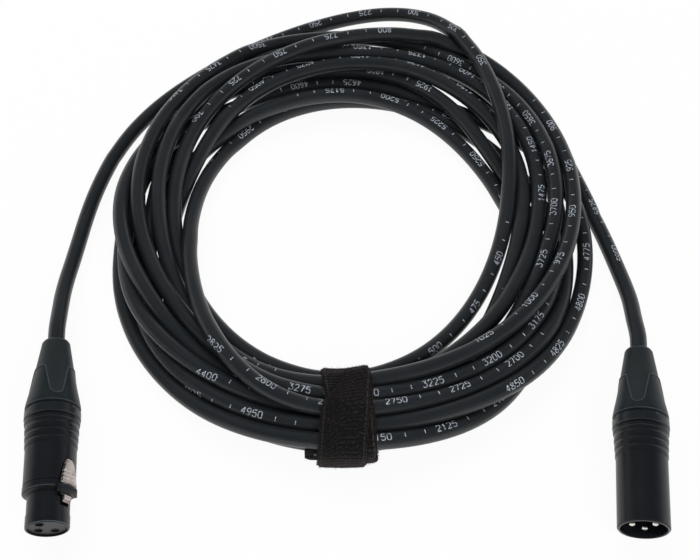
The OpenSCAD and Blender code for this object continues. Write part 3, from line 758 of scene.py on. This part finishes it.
class JacketSurface:
    """Places flat print on the jacket: distance along the cable, and distance round it from its top."""

    def __init__(self, line):
        self.line, self.run = line, length_along(line)
        _, self.side, self.up = frames_along(line)

    def read(self, rows, along):
        return np.array([np.interp(along, self.run, column) for column in rows.T])

    def at(self, along, round_it):
        angle = round_it / (CABLE_R * MM)
        out = math.cos(angle) * self.read(self.up, along) + math.sin(angle) * self.read(self.side, along)
        return self.read(self.line, along) + (CABLE_R * MM + INK_LIFT) * out / np.linalg.norm(out)

    def turned_away(self, along):
        """How far round the jacket the print has twisted from its top."""
        x, y = self.read(self.line, along)[:2] / MM - COIL_MIDDLE
        share = np.interp(math.degrees(math.atan2(y, x)) % 360, PRINT_BEARINGS, PRINT_TURNED)
        wander = sum(far * math.sin(along * fast + start) for far, fast, start in PRINT_WANDER)
        return PRINT_AWAY * eased(share) + wander * MM


def stroke_sides(stroke):
    """Pairs of points on either side of a stroke, close enough to lie on a tube."""
    points = np.array(stroke, float)
    run = length_along(points)
    where = np.linspace(0, run[-1], max(2, int(run[-1] / STROKE_STEP) + 2))
    line = read_along(points, run, np.unique(np.concatenate([where, run])))
    ahead = np.gradient(line, axis=0)
    ahead /= np.maximum(np.linalg.norm(ahead, axis=1), 1e-12)[:, None]
    across = np.stack([-ahead[:, 1], ahead[:, 0]], axis=1) * INK_WIDTH / 2
    return zip(line - across, line + across)


def printed_scale(surface):
    """A plain measuring scale along the jacket: a number each 25 mm and short strokes between."""
    ribbons = []

    def draw(stroke, start):
        # read against the cable's run, with the tops of the digits towards the coil's middle
        offset = surface.turned_away(start - stroke[0][0]) - DIGIT_HEIGHT / 2
        points = [surface.at(start - x, y + offset) for pair in stroke_sides(stroke) for x, y in pair]
        faces = [(k, k + 2, k + 3, k + 1) for k in range(0, len(points) - 2, 2)]
        ribbons.append((points, faces))

    first, last = (int(end / MM) // SCALE_EVERY for end in (BARE_ENDS, surface.run[-1] - BARE_ENDS))
    for mark in range(first + 1, last):
        if mark % PRINT_PERIOD >= PRINT_MARKS:
            continue
        start = mark * SCALE_EVERY * MM
        number = str(mark * SCALE_EVERY)
        for place, digit in enumerate(number):
            left = place * DIGIT_PITCH
            draw([(left + x * DIGIT_WIDTH, y * DIGIT_HEIGHT) for x, y in DIGITS[digit]], start)
        used = len(number) * DIGIT_PITCH
        for k in range(TICKS):
            x = used + (SCALE_EVERY * MM - used) * (k + 0.6) / (TICKS + 0.2)
            draw([(x, 0.2 * DIGIT_HEIGHT), (x, 0.8 * DIGIT_HEIGHT)], start)
    return piece_on("cable", "cable_jacket", "cable_print", *merged(ribbons), INK)


def make_cable():
    """The cable with its print, and the line that it follows."""
    line = evenly_spaced(settle(cable_plan()), CABLE_STEP) * MM
    run = length_along(line)
    uvs = []
    for near, far in zip(run[:-1], run[1:]):
        for k in range(JACKET_SIDES):
            left, right = k / JACKET_SIDES, (k + 1) / JACKET_SIDES
            uvs += [(left, near), (right, near), (right, far), (left, far)]
    uvs += [(0.5, 0.0)] * (2 * JACKET_SIDES)
    points, faces = swept_points(line, CABLE_R * MM, JACKET_SIDES), ring_faces(len(line), JACKET_SIDES)
    cable = piece_on("cable", "cable_jacket", "cable", points, faces, JACKET, uvs=uvs)
    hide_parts("cable_coil", "socket_tail", "pin_tail")
    return cable, printed_scale(JacketSurface(line)), line


# ---- strap

STRAP_W = 17.5 * MM
STRAP_T = 1.05 * MM
STRAP_COLUMNS = 26
STRAP_ROWS_A_TURN = 120
STRAP_START = -125.0  # degrees round the bundle, 0 at the back and 90 at the top
STRAP_TURNS = 1.66
CLIMB_FROM = 0.84  # share of the first turn after which it climbs on to the strap's own start
GATHER_FROM = 1.2  # turns after which its rows are gathered on to the cut end
# Where the strap's middle runs, in millimetres across, at these turns from its start
STRAP_RUN = (0, 0.2, 0.45, 0.62, 0.95, 1.2, 1.45, 1.7)
STRAP_MIDDLE = (2.9, 2.4, 1.1, -0.5, -1.9, -1.5, 0.1, 1.7)
# Its free end is cut round at one corner: how far each place across it reaches, in turns
END_ACROSS = (-0.5, -0.4, -0.28, -0.18, -0.13, -0.08, 0.3, 0.4, 0.46, 0.5)
END_TURNS = (1.405, 1.44, 1.485, 1.53, 1.565, 1.6, 1.62, 1.6, 1.575, 1.545)
STRAP_SAG, SAG_AT, SAG_WIDE = 3.0, 0.13, 0.1  # it stands off the bundle's lower front edge by this much
DRIFT, DRIFT_ROWS = 0.3, 9  # its edges wander by this much over so many rows
# The narrow end beside it, in millimetres: from left to right, its top and foot as (y, z), its bar tack
TAB_LEFT, TAB_RIGHT = -15.2, -8.6
TAB_TOP, TAB_FOOT = (-99.6, 9.6), (-102.2, 4.4)
TAB_THICK, TAB_GRID = 1.3, 0.5
TAB_CUT_FROM, TAB_CUT = 0.4, 0.34  # its outer corners are cut round
TACK = Vector((-11.2, -101.9, 8.2))
TACK_STITCHES, TACK_PITCH = 4, 0.24
OWN_STRETCH = 0.1  # metres by which a side's weave is moved along, so that two sides differ
# Loose fibres on the pile, some of them thick tufts, along its edges, along the cut end and just inside it
PILE_FIBRES, TUFT_SHARE, EDGE_FIBRES, END_FIBRES, WEAVE_ENDS = 9000, 0.16, 5200, 1800, 420


def hull_outline(centres, radius, count, start_angle):
    """Points evenly round the tight outline of circles, from start_angle on and over the top to the back."""
    turn = np.linspace(0, 2 * math.pi, 48, endpoint=False)
    cloud = (centres[:, None, :] + radius * np.stack([np.cos(turn), np.sin(turn)], axis=1)).reshape(-1, 2)
    cloud = cloud[np.lexsort((cloud[:, 1], cloud[:, 0]))]

    def half(points):
        kept = []
        for p in points:
            while len(kept) > 1 and np.cross(kept[-1] - kept[-2], p - kept[-2]) <= 0:
                kept.pop()
            kept.append(p)
        return kept[:-1]

    outline = np.array(half(cloud) + half(cloud[::-1]))[::-1]
    middle = outline.mean(0)
    angle = np.arctan2(outline[:, 1] - middle[1], outline[:, 0] - middle[0])
    first = int(np.argmin(np.abs((angle - start_angle + math.pi) % (2 * math.pi) - math.pi)))
    outline = np.roll(outline, -first, axis=0)
    closed = np.vstack([outline, outline[:1]])
    run = length_along(closed)
    return read_along(closed, run, np.linspace(0, run[-1], count, endpoint=False))


def strands_at(line, x):
    """Where the cable's turns cross the plane at x under the strap: y and z."""
    off = line[:, 0] - x
    here = np.where((off[:-1] * off[1:] <= 0) & (line[:-1, 1] < STRAP_SIDE * MM))[0]
    share = off[here] / (off[here] - off[here + 1])
    return (line[here] + share[:, None] * (line[here + 1] - line[here]))[:, 1:]


class Bundle:
    """The tied bundle's outlines under the strap: round the cable, and round the strap's first turn."""

    def __init__(self, line):
        self.across = np.linspace(-12, 12, 13) * MM
        self.outlines = np.array([
            [
                hull_outline(strands_at(line, x), (CABLE_R + 0.12) * MM + layer * (STRAP_T + 0.12 * MM),
                             STRAP_ROWS_A_TURN, math.radians(STRAP_START))
                for x in self.across
            ]
            for layer in range(2)
        ])

    def at(self, x, turn):
        """The point that the strap's underside takes at this place across it and this many turns in."""
        layer, part = min(int(turn), 1), turn % 1.0
        rise = eased(max(0.0, (part - CLIMB_FROM) / (1 - CLIMB_FROM))) if layer == 0 else 0.0
        i, share = divmod(part * STRAP_ROWS_A_TURN, 1.0)
        i = int(i) % STRAP_ROWS_A_TURN
        k = int(np.clip(np.searchsorted(self.across, x) - 1, 0, len(self.across) - 2))
        mix = min(1.0, max(0.0, (x - self.across[k]) / (self.across[k + 1] - self.across[k])))

        def ring(level):
            near = self.outlines[level, k] * (1 - mix) + self.outlines[level, k + 1] * mix
            return near[i] * (1 - share) + near[(i + 1) % STRAP_ROWS_A_TURN] * share

        return ring(layer) * (1 - rise) + ring(1) * rise


def strap_underside(bundle, columns):
    """Rows of points along the strap's underside, drawn tight round the bundle."""
    rng = random.Random(11)
    rows = int(STRAP_TURNS * STRAP_ROWS_A_TURN)
    lower = np.zeros((rows + 1, len(columns), 3))
    drift = [rng.uniform(-1, 1) for _ in range(rows + 1)]
    drift = np.convolve(drift, np.ones(DRIFT_ROWS) / DRIFT_ROWS, "same") * DRIFT * MM
    reach = np.interp(columns, END_ACROSS, END_TURNS)
    gathered = STRAP_TURNS - GATHER_FROM
    for r in range(rows + 1):
        for c, across in enumerate(columns):
            turn = STRAP_TURNS * r / rows
            if turn > GATHER_FROM:
                turn = GATHER_FROM + (turn - GATHER_FROM) * (reach[c] - GATHER_FROM) / gathered
            middle = np.interp(turn, STRAP_RUN, STRAP_MIDDLE) * MM
            x = middle + across * STRAP_W + drift[r] * (1 if across > 0 else 0.6)
            y, z = bundle.at(x, turn)
            sag = STRAP_SAG * MM * math.exp(-((((turn + 0.5) % 1 - 0.5 - SAG_AT) / SAG_WIDE) ** 2))
            above_floor = (STRAP_T + 0.04 * MM) * (2 if turn < 1 else 1)
            lower[r, c] = x, y - sag, max(z - 0.3 * sag, above_floor)
    for _ in range(2):
        lower[1:-1] = (lower[:-2] + 2 * lower[1:-1] + lower[2:]) / 4
    return lower


def strap_piece(name, lower, upper, uv_at):
    """A piece of the strap between two sides; uv_at takes a corner's level, row and column."""
    rows, width = lower.shape[:2]
    faces, uvs = [], []
    for corners in slab_corners(rows - 1, width - 1):
        faces.append(tuple((level * rows + r) * width + c for level, r, c in corners))
        uvs.extend(uv_at(*corner) for corner in corners)
    points = np.concatenate([lower.reshape(-1, 3), upper.reshape(-1, 3)])
    return piece_on("cable", "strap_fabric", name, points, faces, STRAP_CLOTH, uvs=uvs)


def make_strap(line):
    """The hook-and-loop strap, its upper side's points and normals, and its length."""
    columns = np.linspace(-0.5, 0.5, STRAP_COLUMNS + 1)
    lower = strap_underside(Bundle(line), columns)
    out = np.cross(np.gradient(lower, axis=0), np.gradient(lower, axis=1))
    out /= np.linalg.norm(out, axis=2)[:, :, None]
    if (out[:, :, 1:] * (lower[:, :, 1:] - lower[:, :, 1:].mean((0, 1)))).sum() < 0:
        out = -out
    edge = np.minimum(1.0, (0.5 - np.abs(columns)) * STRAP_W / (0.7 * MM))
    crown = np.sqrt(np.maximum(0.0, 1 - (1 - edge) ** 2))
    upper = lower + out * (STRAP_T * (0.35 + 0.65 * crown))[None, :, None]
    run = length_along(lower[:, (STRAP_COLUMNS + 1) // 2])

    def uv_at(level, r, c):
        """Across the strap, and along it from its cut end."""
        return columns[c] * STRAP_W, run[r] - run[-1] - (1 - level) * 3 * OWN_STRETCH

    strap = strap_piece("strap_cloth", lower, upper, uv_at)
    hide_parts("strap")
    return strap, upper, out, run[-1]


def strap_fibres(upper, out):
    """Loose fibres that stand off the pile and stick out along the edges and the cut end."""
    rng = random.Random(5)
    rows, width = upper.shape[:2]
    fibres = []

    def any_way():
        return Vector((rng.uniform(-1, 1), rng.uniform(-1, 1), rng.uniform(-1, 1)))

    def fibre(root, direction, length, thick):
        """A flat tapering fibre of three quads, with its length and thickness in millimetres."""
        sway = any_way() * 0.5
        across = direction.cross(any_way()).normalized() * thick * MM / 2
        points = []
        for k in range(4):
            t = k / 3
            spine = root + direction * (length * MM * t) + sway * (length * MM * t * t)
            spine.z = max(spine.z, 0.1 * MM)
            taper = across * (1 - 0.7 * t)
            points += [spine - taper, spine + taper]
        fibres.append((points, [(k, k + 1, k + 3, k + 2) for k in (0, 2, 4)]))

    for _ in range(PILE_FIBRES):
        r, c = rng.randrange(rows), rng.randrange(1, width - 1)
        lean, up = any_way() * 0.9, Vector(out[r, c])
        root = Vector(upper[r, c]) + lean * 0.4 * MM - up * 0.1 * MM
        tuft = rng.random() < TUFT_SHARE
        length = rng.uniform(0.2, 0.6) * (1.5 if tuft else 1)
        fibre(root, (up + lean).normalized(), length, 0.16 if tuft else 0.07)
    for _ in range(EDGE_FIBRES):
        r, c = rng.randrange(rows), rng.choice((0, width - 1))
        outward, up = Vector((1 if c else -1, 0, 0)), Vector(out[r, c])
        lean = Vector((0, rng.uniform(-1, 1), rng.uniform(-1, 1))) * 0.6
        direction = (outward + up * rng.uniform(-0.4, 0.9) + lean).normalized()
        root = Vector(upper[r, c]) - outward * 0.25 * MM - up * rng.uniform(0, 0.7) * MM
        fibre(root, direction, rng.uniform(0.3, 1.0), rng.choice((0.07, 0.07, 0.14)))
    for _ in range(END_FIBRES):
        c = rng.randrange(1, width - 1)
        ahead, up = (Vector(upper[-1, c]) - Vector(upper[-3, c])).normalized(), Vector(out[-1, c])
        lean = any_way() * 0.5
        direction = (ahead + up * rng.uniform(-0.1, 0.9) + lean).normalized()
        edge = Vector(upper[-1, c - 1]).lerp(Vector(upper[-1, c]), rng.random())
        root = edge - ahead * 0.3 * MM - up * rng.uniform(0, 0.8) * MM
        fibre(root, direction, rng.uniform(0.3, 0.9), 0.09)
    # short ends of the cut weave, a row just inside the cut
    for _ in range(WEAVE_ENDS):
        c, share = divmod(rng.random() * (width - 1), 1.0)
        c = int(c)
        left, right, up = Vector(upper[-2, c]), Vector(upper[-2, c + 1]), Vector(out[-2, c])
        direction = ((right - left).normalized() + up * rng.uniform(0.1, 0.6)).normalized()
        fibre(left.lerp(right, share) + up * 0.05 * MM, direction, rng.uniform(0.3, 0.7), 0.14)
    return piece_on("cable", "strap_fabric", "strap_fibres", *merged(fibres), FIBRE)


def strap_tab():
    """The strap's narrow folded end, which stands out beside its lower edge."""
    across, down = 14, 10
    sides = np.zeros((2, across + 1, down + 1, 3))
    for level, i, k in np.ndindex(sides.shape[:3]):
        u, v = i / across, k / down
        trim = 1.0 - TAB_CUT * max(0.0, 1 - u / TAB_CUT_FROM) ** 2
        bow = 0.5 + (v - 0.5) * trim
        y, z = (top + (foot - top) * bow for top, foot in zip(TAB_TOP, TAB_FOOT))
        edge = min(1.0, 5 * u, 6 * v, 6 * (1 - v))
        swell = TAB_THICK * (0.3 + 0.7 * math.sqrt(edge)) * level
        sides[level, i, k] = TAB_LEFT + (TAB_RIGHT - TAB_LEFT) * u, y - 0.75 * swell, z + 0.65 * swell

    def uv_at(level, i, k):
        return i * TAB_GRID * MM, k * TAB_GRID * MM + level * OWN_STRETCH

    return strap_piece("strap_tab", *(sides * MM), uv_at)


def bar_tack():
    """Short stitches side by side across the narrow end."""
    stitches = []
    for stitch in range(TACK_STITCHES):
        at = TACK + Vector(((stitch - (TACK_STITCHES - 1) / 2) * TACK_PITCH, 0, 0))
        points = []
        for i in range(7):
            t = i / 6 - 0.5
            spine = at + Vector((0, -1.1 * t * 0.5, -1.1 * t * 0.86))
            spine += Vector((0, -0.8, 0.6)) * 0.14 * math.cos(math.pi * t)
            for k in range(6):
                a = 2 * math.pi * k / 6
                round_it = Vector((0.12 * math.cos(a), -0.1 * math.sin(a), 0.08 * math.sin(a)))
                points.append((spine + round_it) * MM)
        stitches.append((points, ring_faces(7, 6)))
    return piece_on("cable", "strap_fabric", "strap_bar_tack", *merged(stitches), TACK_THREAD)


# ---- plug details

# All in millimetres, in a plug's own frame. Outer radius of boot and bushing along the plug:
CONE = (
    (0, 5.2), (3, 5.6), (12.8, 7.2), (17, 7.9), (20, 8.45), (23, 9.05), (25, 9.5), (27.5, 10.0),
    (28.9, 10.17), (29.5, 9.65),
)
TONGUE_HALF = 4.2  # at its root; it tapers to a round end
TONGUE_ROUND = 2.3
TONGUE_END = 26.3
BOOT_END = 12.8
LIP_R, LIP_OFF = 0.27, 0.02
BRIDGE_REAR, BRIDGE_FRONT, BRIDGE_R = 61.3, 64.3, 9.95
BRIDGE_HALF, BRIDGE_RIBS = 31.0, 13  # half its angle in degrees, and its ribs
SOCKET_FACE = 74.3
CONTACT_PLACES = ((-4.0, 0.0), (4.0, 0.0), (0.0, -4.0))
RIM_R, RIM_WIDE, RIM_FLAT = 1.72, 0.2, 0.6
SPRING_AT, SPRING_FLOOR = 57.0, 5.4  # along the plug, and above its axis
SPRING_R, SPRING_WIRE, SPRING_TURNS = 1.2, 0.17, 3.5
SPRING_LOWEST, SPRING_RISE = 0.22, 2.02  # of its wire's middle, above the floor under it
LATCH_SIDE = 34.0  # the flange's edges stop this many degrees to either side of the latch

# The turned edges, each with a thin pale bead of painted highlight along it, as distance, radius and
# thickness. Those on both plugs come with the end of the piece's name, the end of its body's name (none on
# the housing) and its slot
EDGES_OF_BOTH = (
    ("bushing_edge_highlight", "bushing_and_boot", "bushing_plastic", ((28.95, 10.08, 0.1),)),
    ("ring_edge_highlights", "ring", "black_plastic", ((30.55, 10.12, 0.11), (33.35, 10.14, 0.1))),
    ("collar_edge_highlights", None, "black_metal", ((34.55, 9.98, 0.11), (35.65, 9.86, 0.1))),
)
NOSE_EDGE = ((74.62, 7.5, 0.16),)
FLANGE_EDGES = ((60.25, 9.27, 0.08), (62.05, 9.24, 0.1))
SHELL_RIM = ((71.42, 8.45, 0.24),)


def cone_radius(distance):
    return float(np.interp(distance, *zip(*CONE)))


def round_axis(radius, angle, distance):
    """A point round a plug's axis; the angle is in radians."""
    return Vector((radius * math.cos(angle), radius * math.sin(angle), distance))


def bead(path, middle, thick, joined=True, sides=8):
    """Points and faces of a round bead along a path.

    middle gives the point that the path goes round at a spot, and thick holds the bead's radius at each.
    """
    points, count = [], len(path)
    for i, spot in enumerate(path):
        ahead = path[(i + 1) % count if joined else min(i + 1, count - 1)]
        behind = path[i - 1 if joined else max(i - 1, 0)]
        outward = (spot - middle(spot)).normalized()
        side = (ahead - behind).cross(outward).normalized()
        for k in range(sides):
            a = 2 * math.pi * k / sides
            points.append(spot + thick[i] * (math.cos(a) * outward + math.sin(a) * side))
    return points, ring_faces(count, sides, joined)


def on_axis(spot):
    return Vector((0, 0, spot.z))


def plug_piece(body, slot, name, matrix, parts, material):
    """A piece from points in a plug's own frame."""
    points, faces = merged(parts)
    return piece_on(body, slot, name, [matrix @ (p * MM) for p in points], faces, material)


def bushing_lips(side, matrix):
    """The raised lip round the boot's three tongues and the ends of the lobes between them."""
    bow = TONGUE_END - TONGUE_ROUND
    root = BOOT_END + 0.55
    away = math.hypot(TONGUE_HALF, bow - root)
    lean = math.atan2(TONGUE_HALF, bow - root) - math.asin(TONGUE_ROUND / away)
    arc = np.linspace(lean, math.pi - lean, 20)
    outline = [(-TONGUE_ROUND * math.cos(a), bow + TONGUE_ROUND * math.sin(a)) for a in arc]
    foot = (-TONGUE_HALF + 0.1, root)
    edge = [tuple(np.add(foot, t * np.subtract(outline[0], foot))) for t in np.linspace(0, 1, 12)[:-1]]
    outline = edge + outline + [(-x, z) for x, z in reversed(edge)]
    half = math.asin((TONGUE_HALF - 0.1) / cone_radius(root))
    line = []
    for angle in (90, 330, 210):
        line += [(math.radians(angle) - math.asin(x / cone_radius(z)), z) for x, z in outline]
        # round the end of the lobe, to the next tongue
        before, after = math.radians(angle) - half, math.radians(angle - 120) + half
        for t in np.linspace(0, 1, 14)[1:-1]:
            line.append((before + t * (after - before), root - 0.35 * math.sin(math.pi * t) ** 0.5))
    path = [round_axis(cone_radius(z) + LIP_OFF, bearing, z) for bearing, z in line]
    lips = bead(path, on_axis, [LIP_R] * len(path))
    body, name = f"{side}_bushing_and_boot", f"{side}_bushing_lips"
    return plug_piece(body, "bushing_plastic", name, matrix, [lips], LIP_GREY)


def painted_edge_highlights(body, slot, name, matrix, edges, open_at=0.0):
    """Thin pale beads of painted highlight along a plug's edges; open_at leaves out this half angle at its
    upper side, in degrees.
    """
    steps = 96
    count = steps + 1 if open_at else steps
    beads = []
    for distance, radius, thick in edges:
        path, swell = [], []
        for i in range(count):
            angle = math.radians(90 - open_at - (360 - 2 * open_at) * i / steps)
            path.append(round_axis(radius, angle, distance))
            swell.append(thick * min(1.0, 0.2 + 0.4 * min(i, steps - i)) if open_at else thick)
        beads.append(bead(path, on_axis, swell, joined=not open_at))
    plug_piece(body, slot, name, matrix, beads, EDGE_HIGHLIGHT)


def latch_bridge():
    """The ribbed bridge of the flange that the latch passes under."""
    across, deep = 61, 9
    points = []
    for i in range(across):
        t = i / (across - 1)
        angle = math.pi / 2 + math.radians(BRIDGE_HALF) * (1 - 2 * t)
        ends = min(1.0, 6 * t, 6 * (1 - t))
        rib = 0.5 - 0.5 * math.cos(2 * math.pi * BRIDGE_RIBS * t)
        for k in range(deep):
            s = k / (deep - 1)
            edges = min(1.0, 4 * s, 4 * (1 - s))
            radius = BRIDGE_R - 0.15 + (0.2 + 0.28 * rib) * ends * edges
            distance = BRIDGE_REAR + 0.15 + (BRIDGE_FRONT - BRIDGE_REAR - 0.55) * s
            points.append(round_axis(radius, angle, distance))
    faces = [
        (a, a + 1, a + deep + 1, a + deep)
        for i in range(across - 1)
        for a in range(i * deep, i * deep + deep - 1)
    ]
    plug_piece("cable", "black_metal", "latch_bridge", LATCH_FRAME, [(points, faces)], RING_BLACK)


def socket_face_rims():
    """Flat rims round the three contact holes in the nose's face."""
    rims = []
    for x, y in CONTACT_PLACES:
        path = [round_axis(RIM_R, -2 * math.pi * i / 40, 0) for i in range(40)]
        points, faces = bead(path, on_axis, [RIM_WIDE] * len(path))
        rims.append(([Vector((x + p.x, y + p.y, SOCKET_FACE + RIM_FLAT * p.z)) for p in points], faces))
    plug_piece("cable", "black_plastic", "socket_face_rims", LATCH_FRAME, rims, INSERT_BLACK)


def press_spring():
    """The latch's coil spring, built at one length; it is not made to shorten as the latch is pressed."""
    path = []
    for t in np.linspace(0, 1, 127):
        turn = 2 * math.pi * SPRING_TURNS * t
        across, along = SPRING_R * math.cos(turn), SPRING_AT - SPRING_R * math.sin(turn)
        path.append(Vector((across, SPRING_FLOOR + SPRING_LOWEST + SPRING_RISE * t, along)))
    coil = bead(path, lambda spot: Vector((0, spot.y, SPRING_AT)), [SPRING_WIRE] * len(path), joined=False)
    spring = plug_piece("cable", "steel", "press_spring", LATCH_FRAME, [coil], STEEL)
    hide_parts("latch_spring")
    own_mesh(spring)


def make_plug_details():
    """What the CAD nodes of the plugs don't have; returns the pin plug's lips."""
    finish_cad_nodes()
    plugs = (("socket", SOCKET_FRAME), ("pin", PIN_FRAME))
    for side, matrix in plugs:
        for part, body, slot, edges in EDGES_OF_BOTH:
            painted_edge_highlights(f"{side}_{body}" if body else "cable", slot, f"{side}_{part}", matrix, edges)
    painted_edge_highlights("cable", "black_metal", "socket_nose_edge_highlight", LATCH_FRAME, NOSE_EDGE)
    painted_edge_highlights("cable", "black_metal", "socket_flange_edge_highlights", LATCH_FRAME, FLANGE_EDGES, open_at=LATCH_SIDE)
    painted_edge_highlights("cable", "black_metal", "pin_shell_rim_highlight", PIN_FRAME, SHELL_RIM)
    lips = [bushing_lips(side, matrix) for side, matrix in plugs]
    latch_bridge()
    press_spring()
    socket_face_rims()
    return lips[-1]


# ---- light and floor

FLOOR_HALF, FLOOR_BELOW = 3.0, 0.0002  # metres
FLOOR_WHITE = 0.9
FLOOR_SHOWN = 0.94  # share of the floor that shows as plain white
CEILING = 0.1
WALL_TOP, CEILING_FROM = 0.08, 0.5  # sines of the height at which the white walls fade into it


def make_floor():
    """A plain white floor: it lights and shades as paper does, and shows almost white."""
    made, tree, shader = new_finish("floor_white", Base_Color=(FLOOR_WHITE,) * 3, Roughness=0.85,
                                    Specular_IOR_Level=0.15)
    glow = node_in(tree, "ShaderNodeEmission", Color=(1, 1, 1), Strength=1.0).outputs[0]
    path = node_in(tree, "ShaderNodeLightPath").outputs
    straight = plus(path["Is Camera Ray"], path["Is Transmission Ray"])
    seen = times(plus(straight, path["Is Glossy Ray"], clamp=True), FLOOR_SHOWN)
    shown = in_order(node_in(tree, "ShaderNodeMixShader"), seen, shader.outputs["BSDF"], glow)
    feed(tree.nodes["Material Output"], Surface=shown)
    corners = [(x * FLOOR_HALF, y * FLOOR_HALF, 0) for x, y in ((-1, -1), (1, -1), (1, 1), (-1, 1))]
    floor = piece_from("floor", corners, [(0, 1, 2, 3)], made, smooth=False)
    floor.location.z = -FLOOR_BELOW


def soft_lamp(name, at, aim, size, watts):
    """A wide fill lamp that lights the object and leaves the reflections to the room."""
    data = bpy.data.lights.new(name, "AREA")
    data.shape = "RECTANGLE"
    data.size, data.size_y = size
    data.energy = watts
    lamp = bpy.data.objects.new(name, data)
    lamp.location = at
    lamp.rotation_euler = (Vector(aim) - Vector(at)).to_track_quat("-Z", "Y").to_euler()
    lamp.visible_glossy = False
    bpy.context.scene.collection.objects.link(lamp)


def make_room():
    """White walls all round and a dim ceiling."""
    world = bpy.data.worlds.new("studio")
    world.use_nodes = True
    tree = world.node_tree
    up = node_in(tree, "ShaderNodeTexCoord").outputs["Generated"]
    height = node_in(tree, "ShaderNodeSeparateXYZ", Vector=up).outputs["Z"]
    share = spread_over(height, WALL_TOP, CEILING_FROM)
    feed(tree.nodes["Background"], Color=mixed_colour(share, (1.0,) * 3, (CEILING,) * 3))
    bpy.context.scene.world = world


def make_light():
    make_room()
    soft_lamp("lamp_back", (-0.35, 0.75, 1.15), (0, 0, 0), (1.3, 0.9), 15.0)
    soft_lamp("lamp_front", (0.55, -0.95, 1.0), (0, -0.02, 0), (1.1, 0.9), 12.0)
    bpy.context.scene.view_settings.view_transform = "Standard"


# ---- the whole object

set_camera()
cable, legend, cable_line = make_cable()
pin_lips = make_plug_details()
strap, strap_top, strap_out, strap_length = make_strap(cable_line)
fuzz = strap_fibres(strap_top, strap_out)
tab_pieces = [strap_tab(), bar_tack()]

make_floor()
make_light()
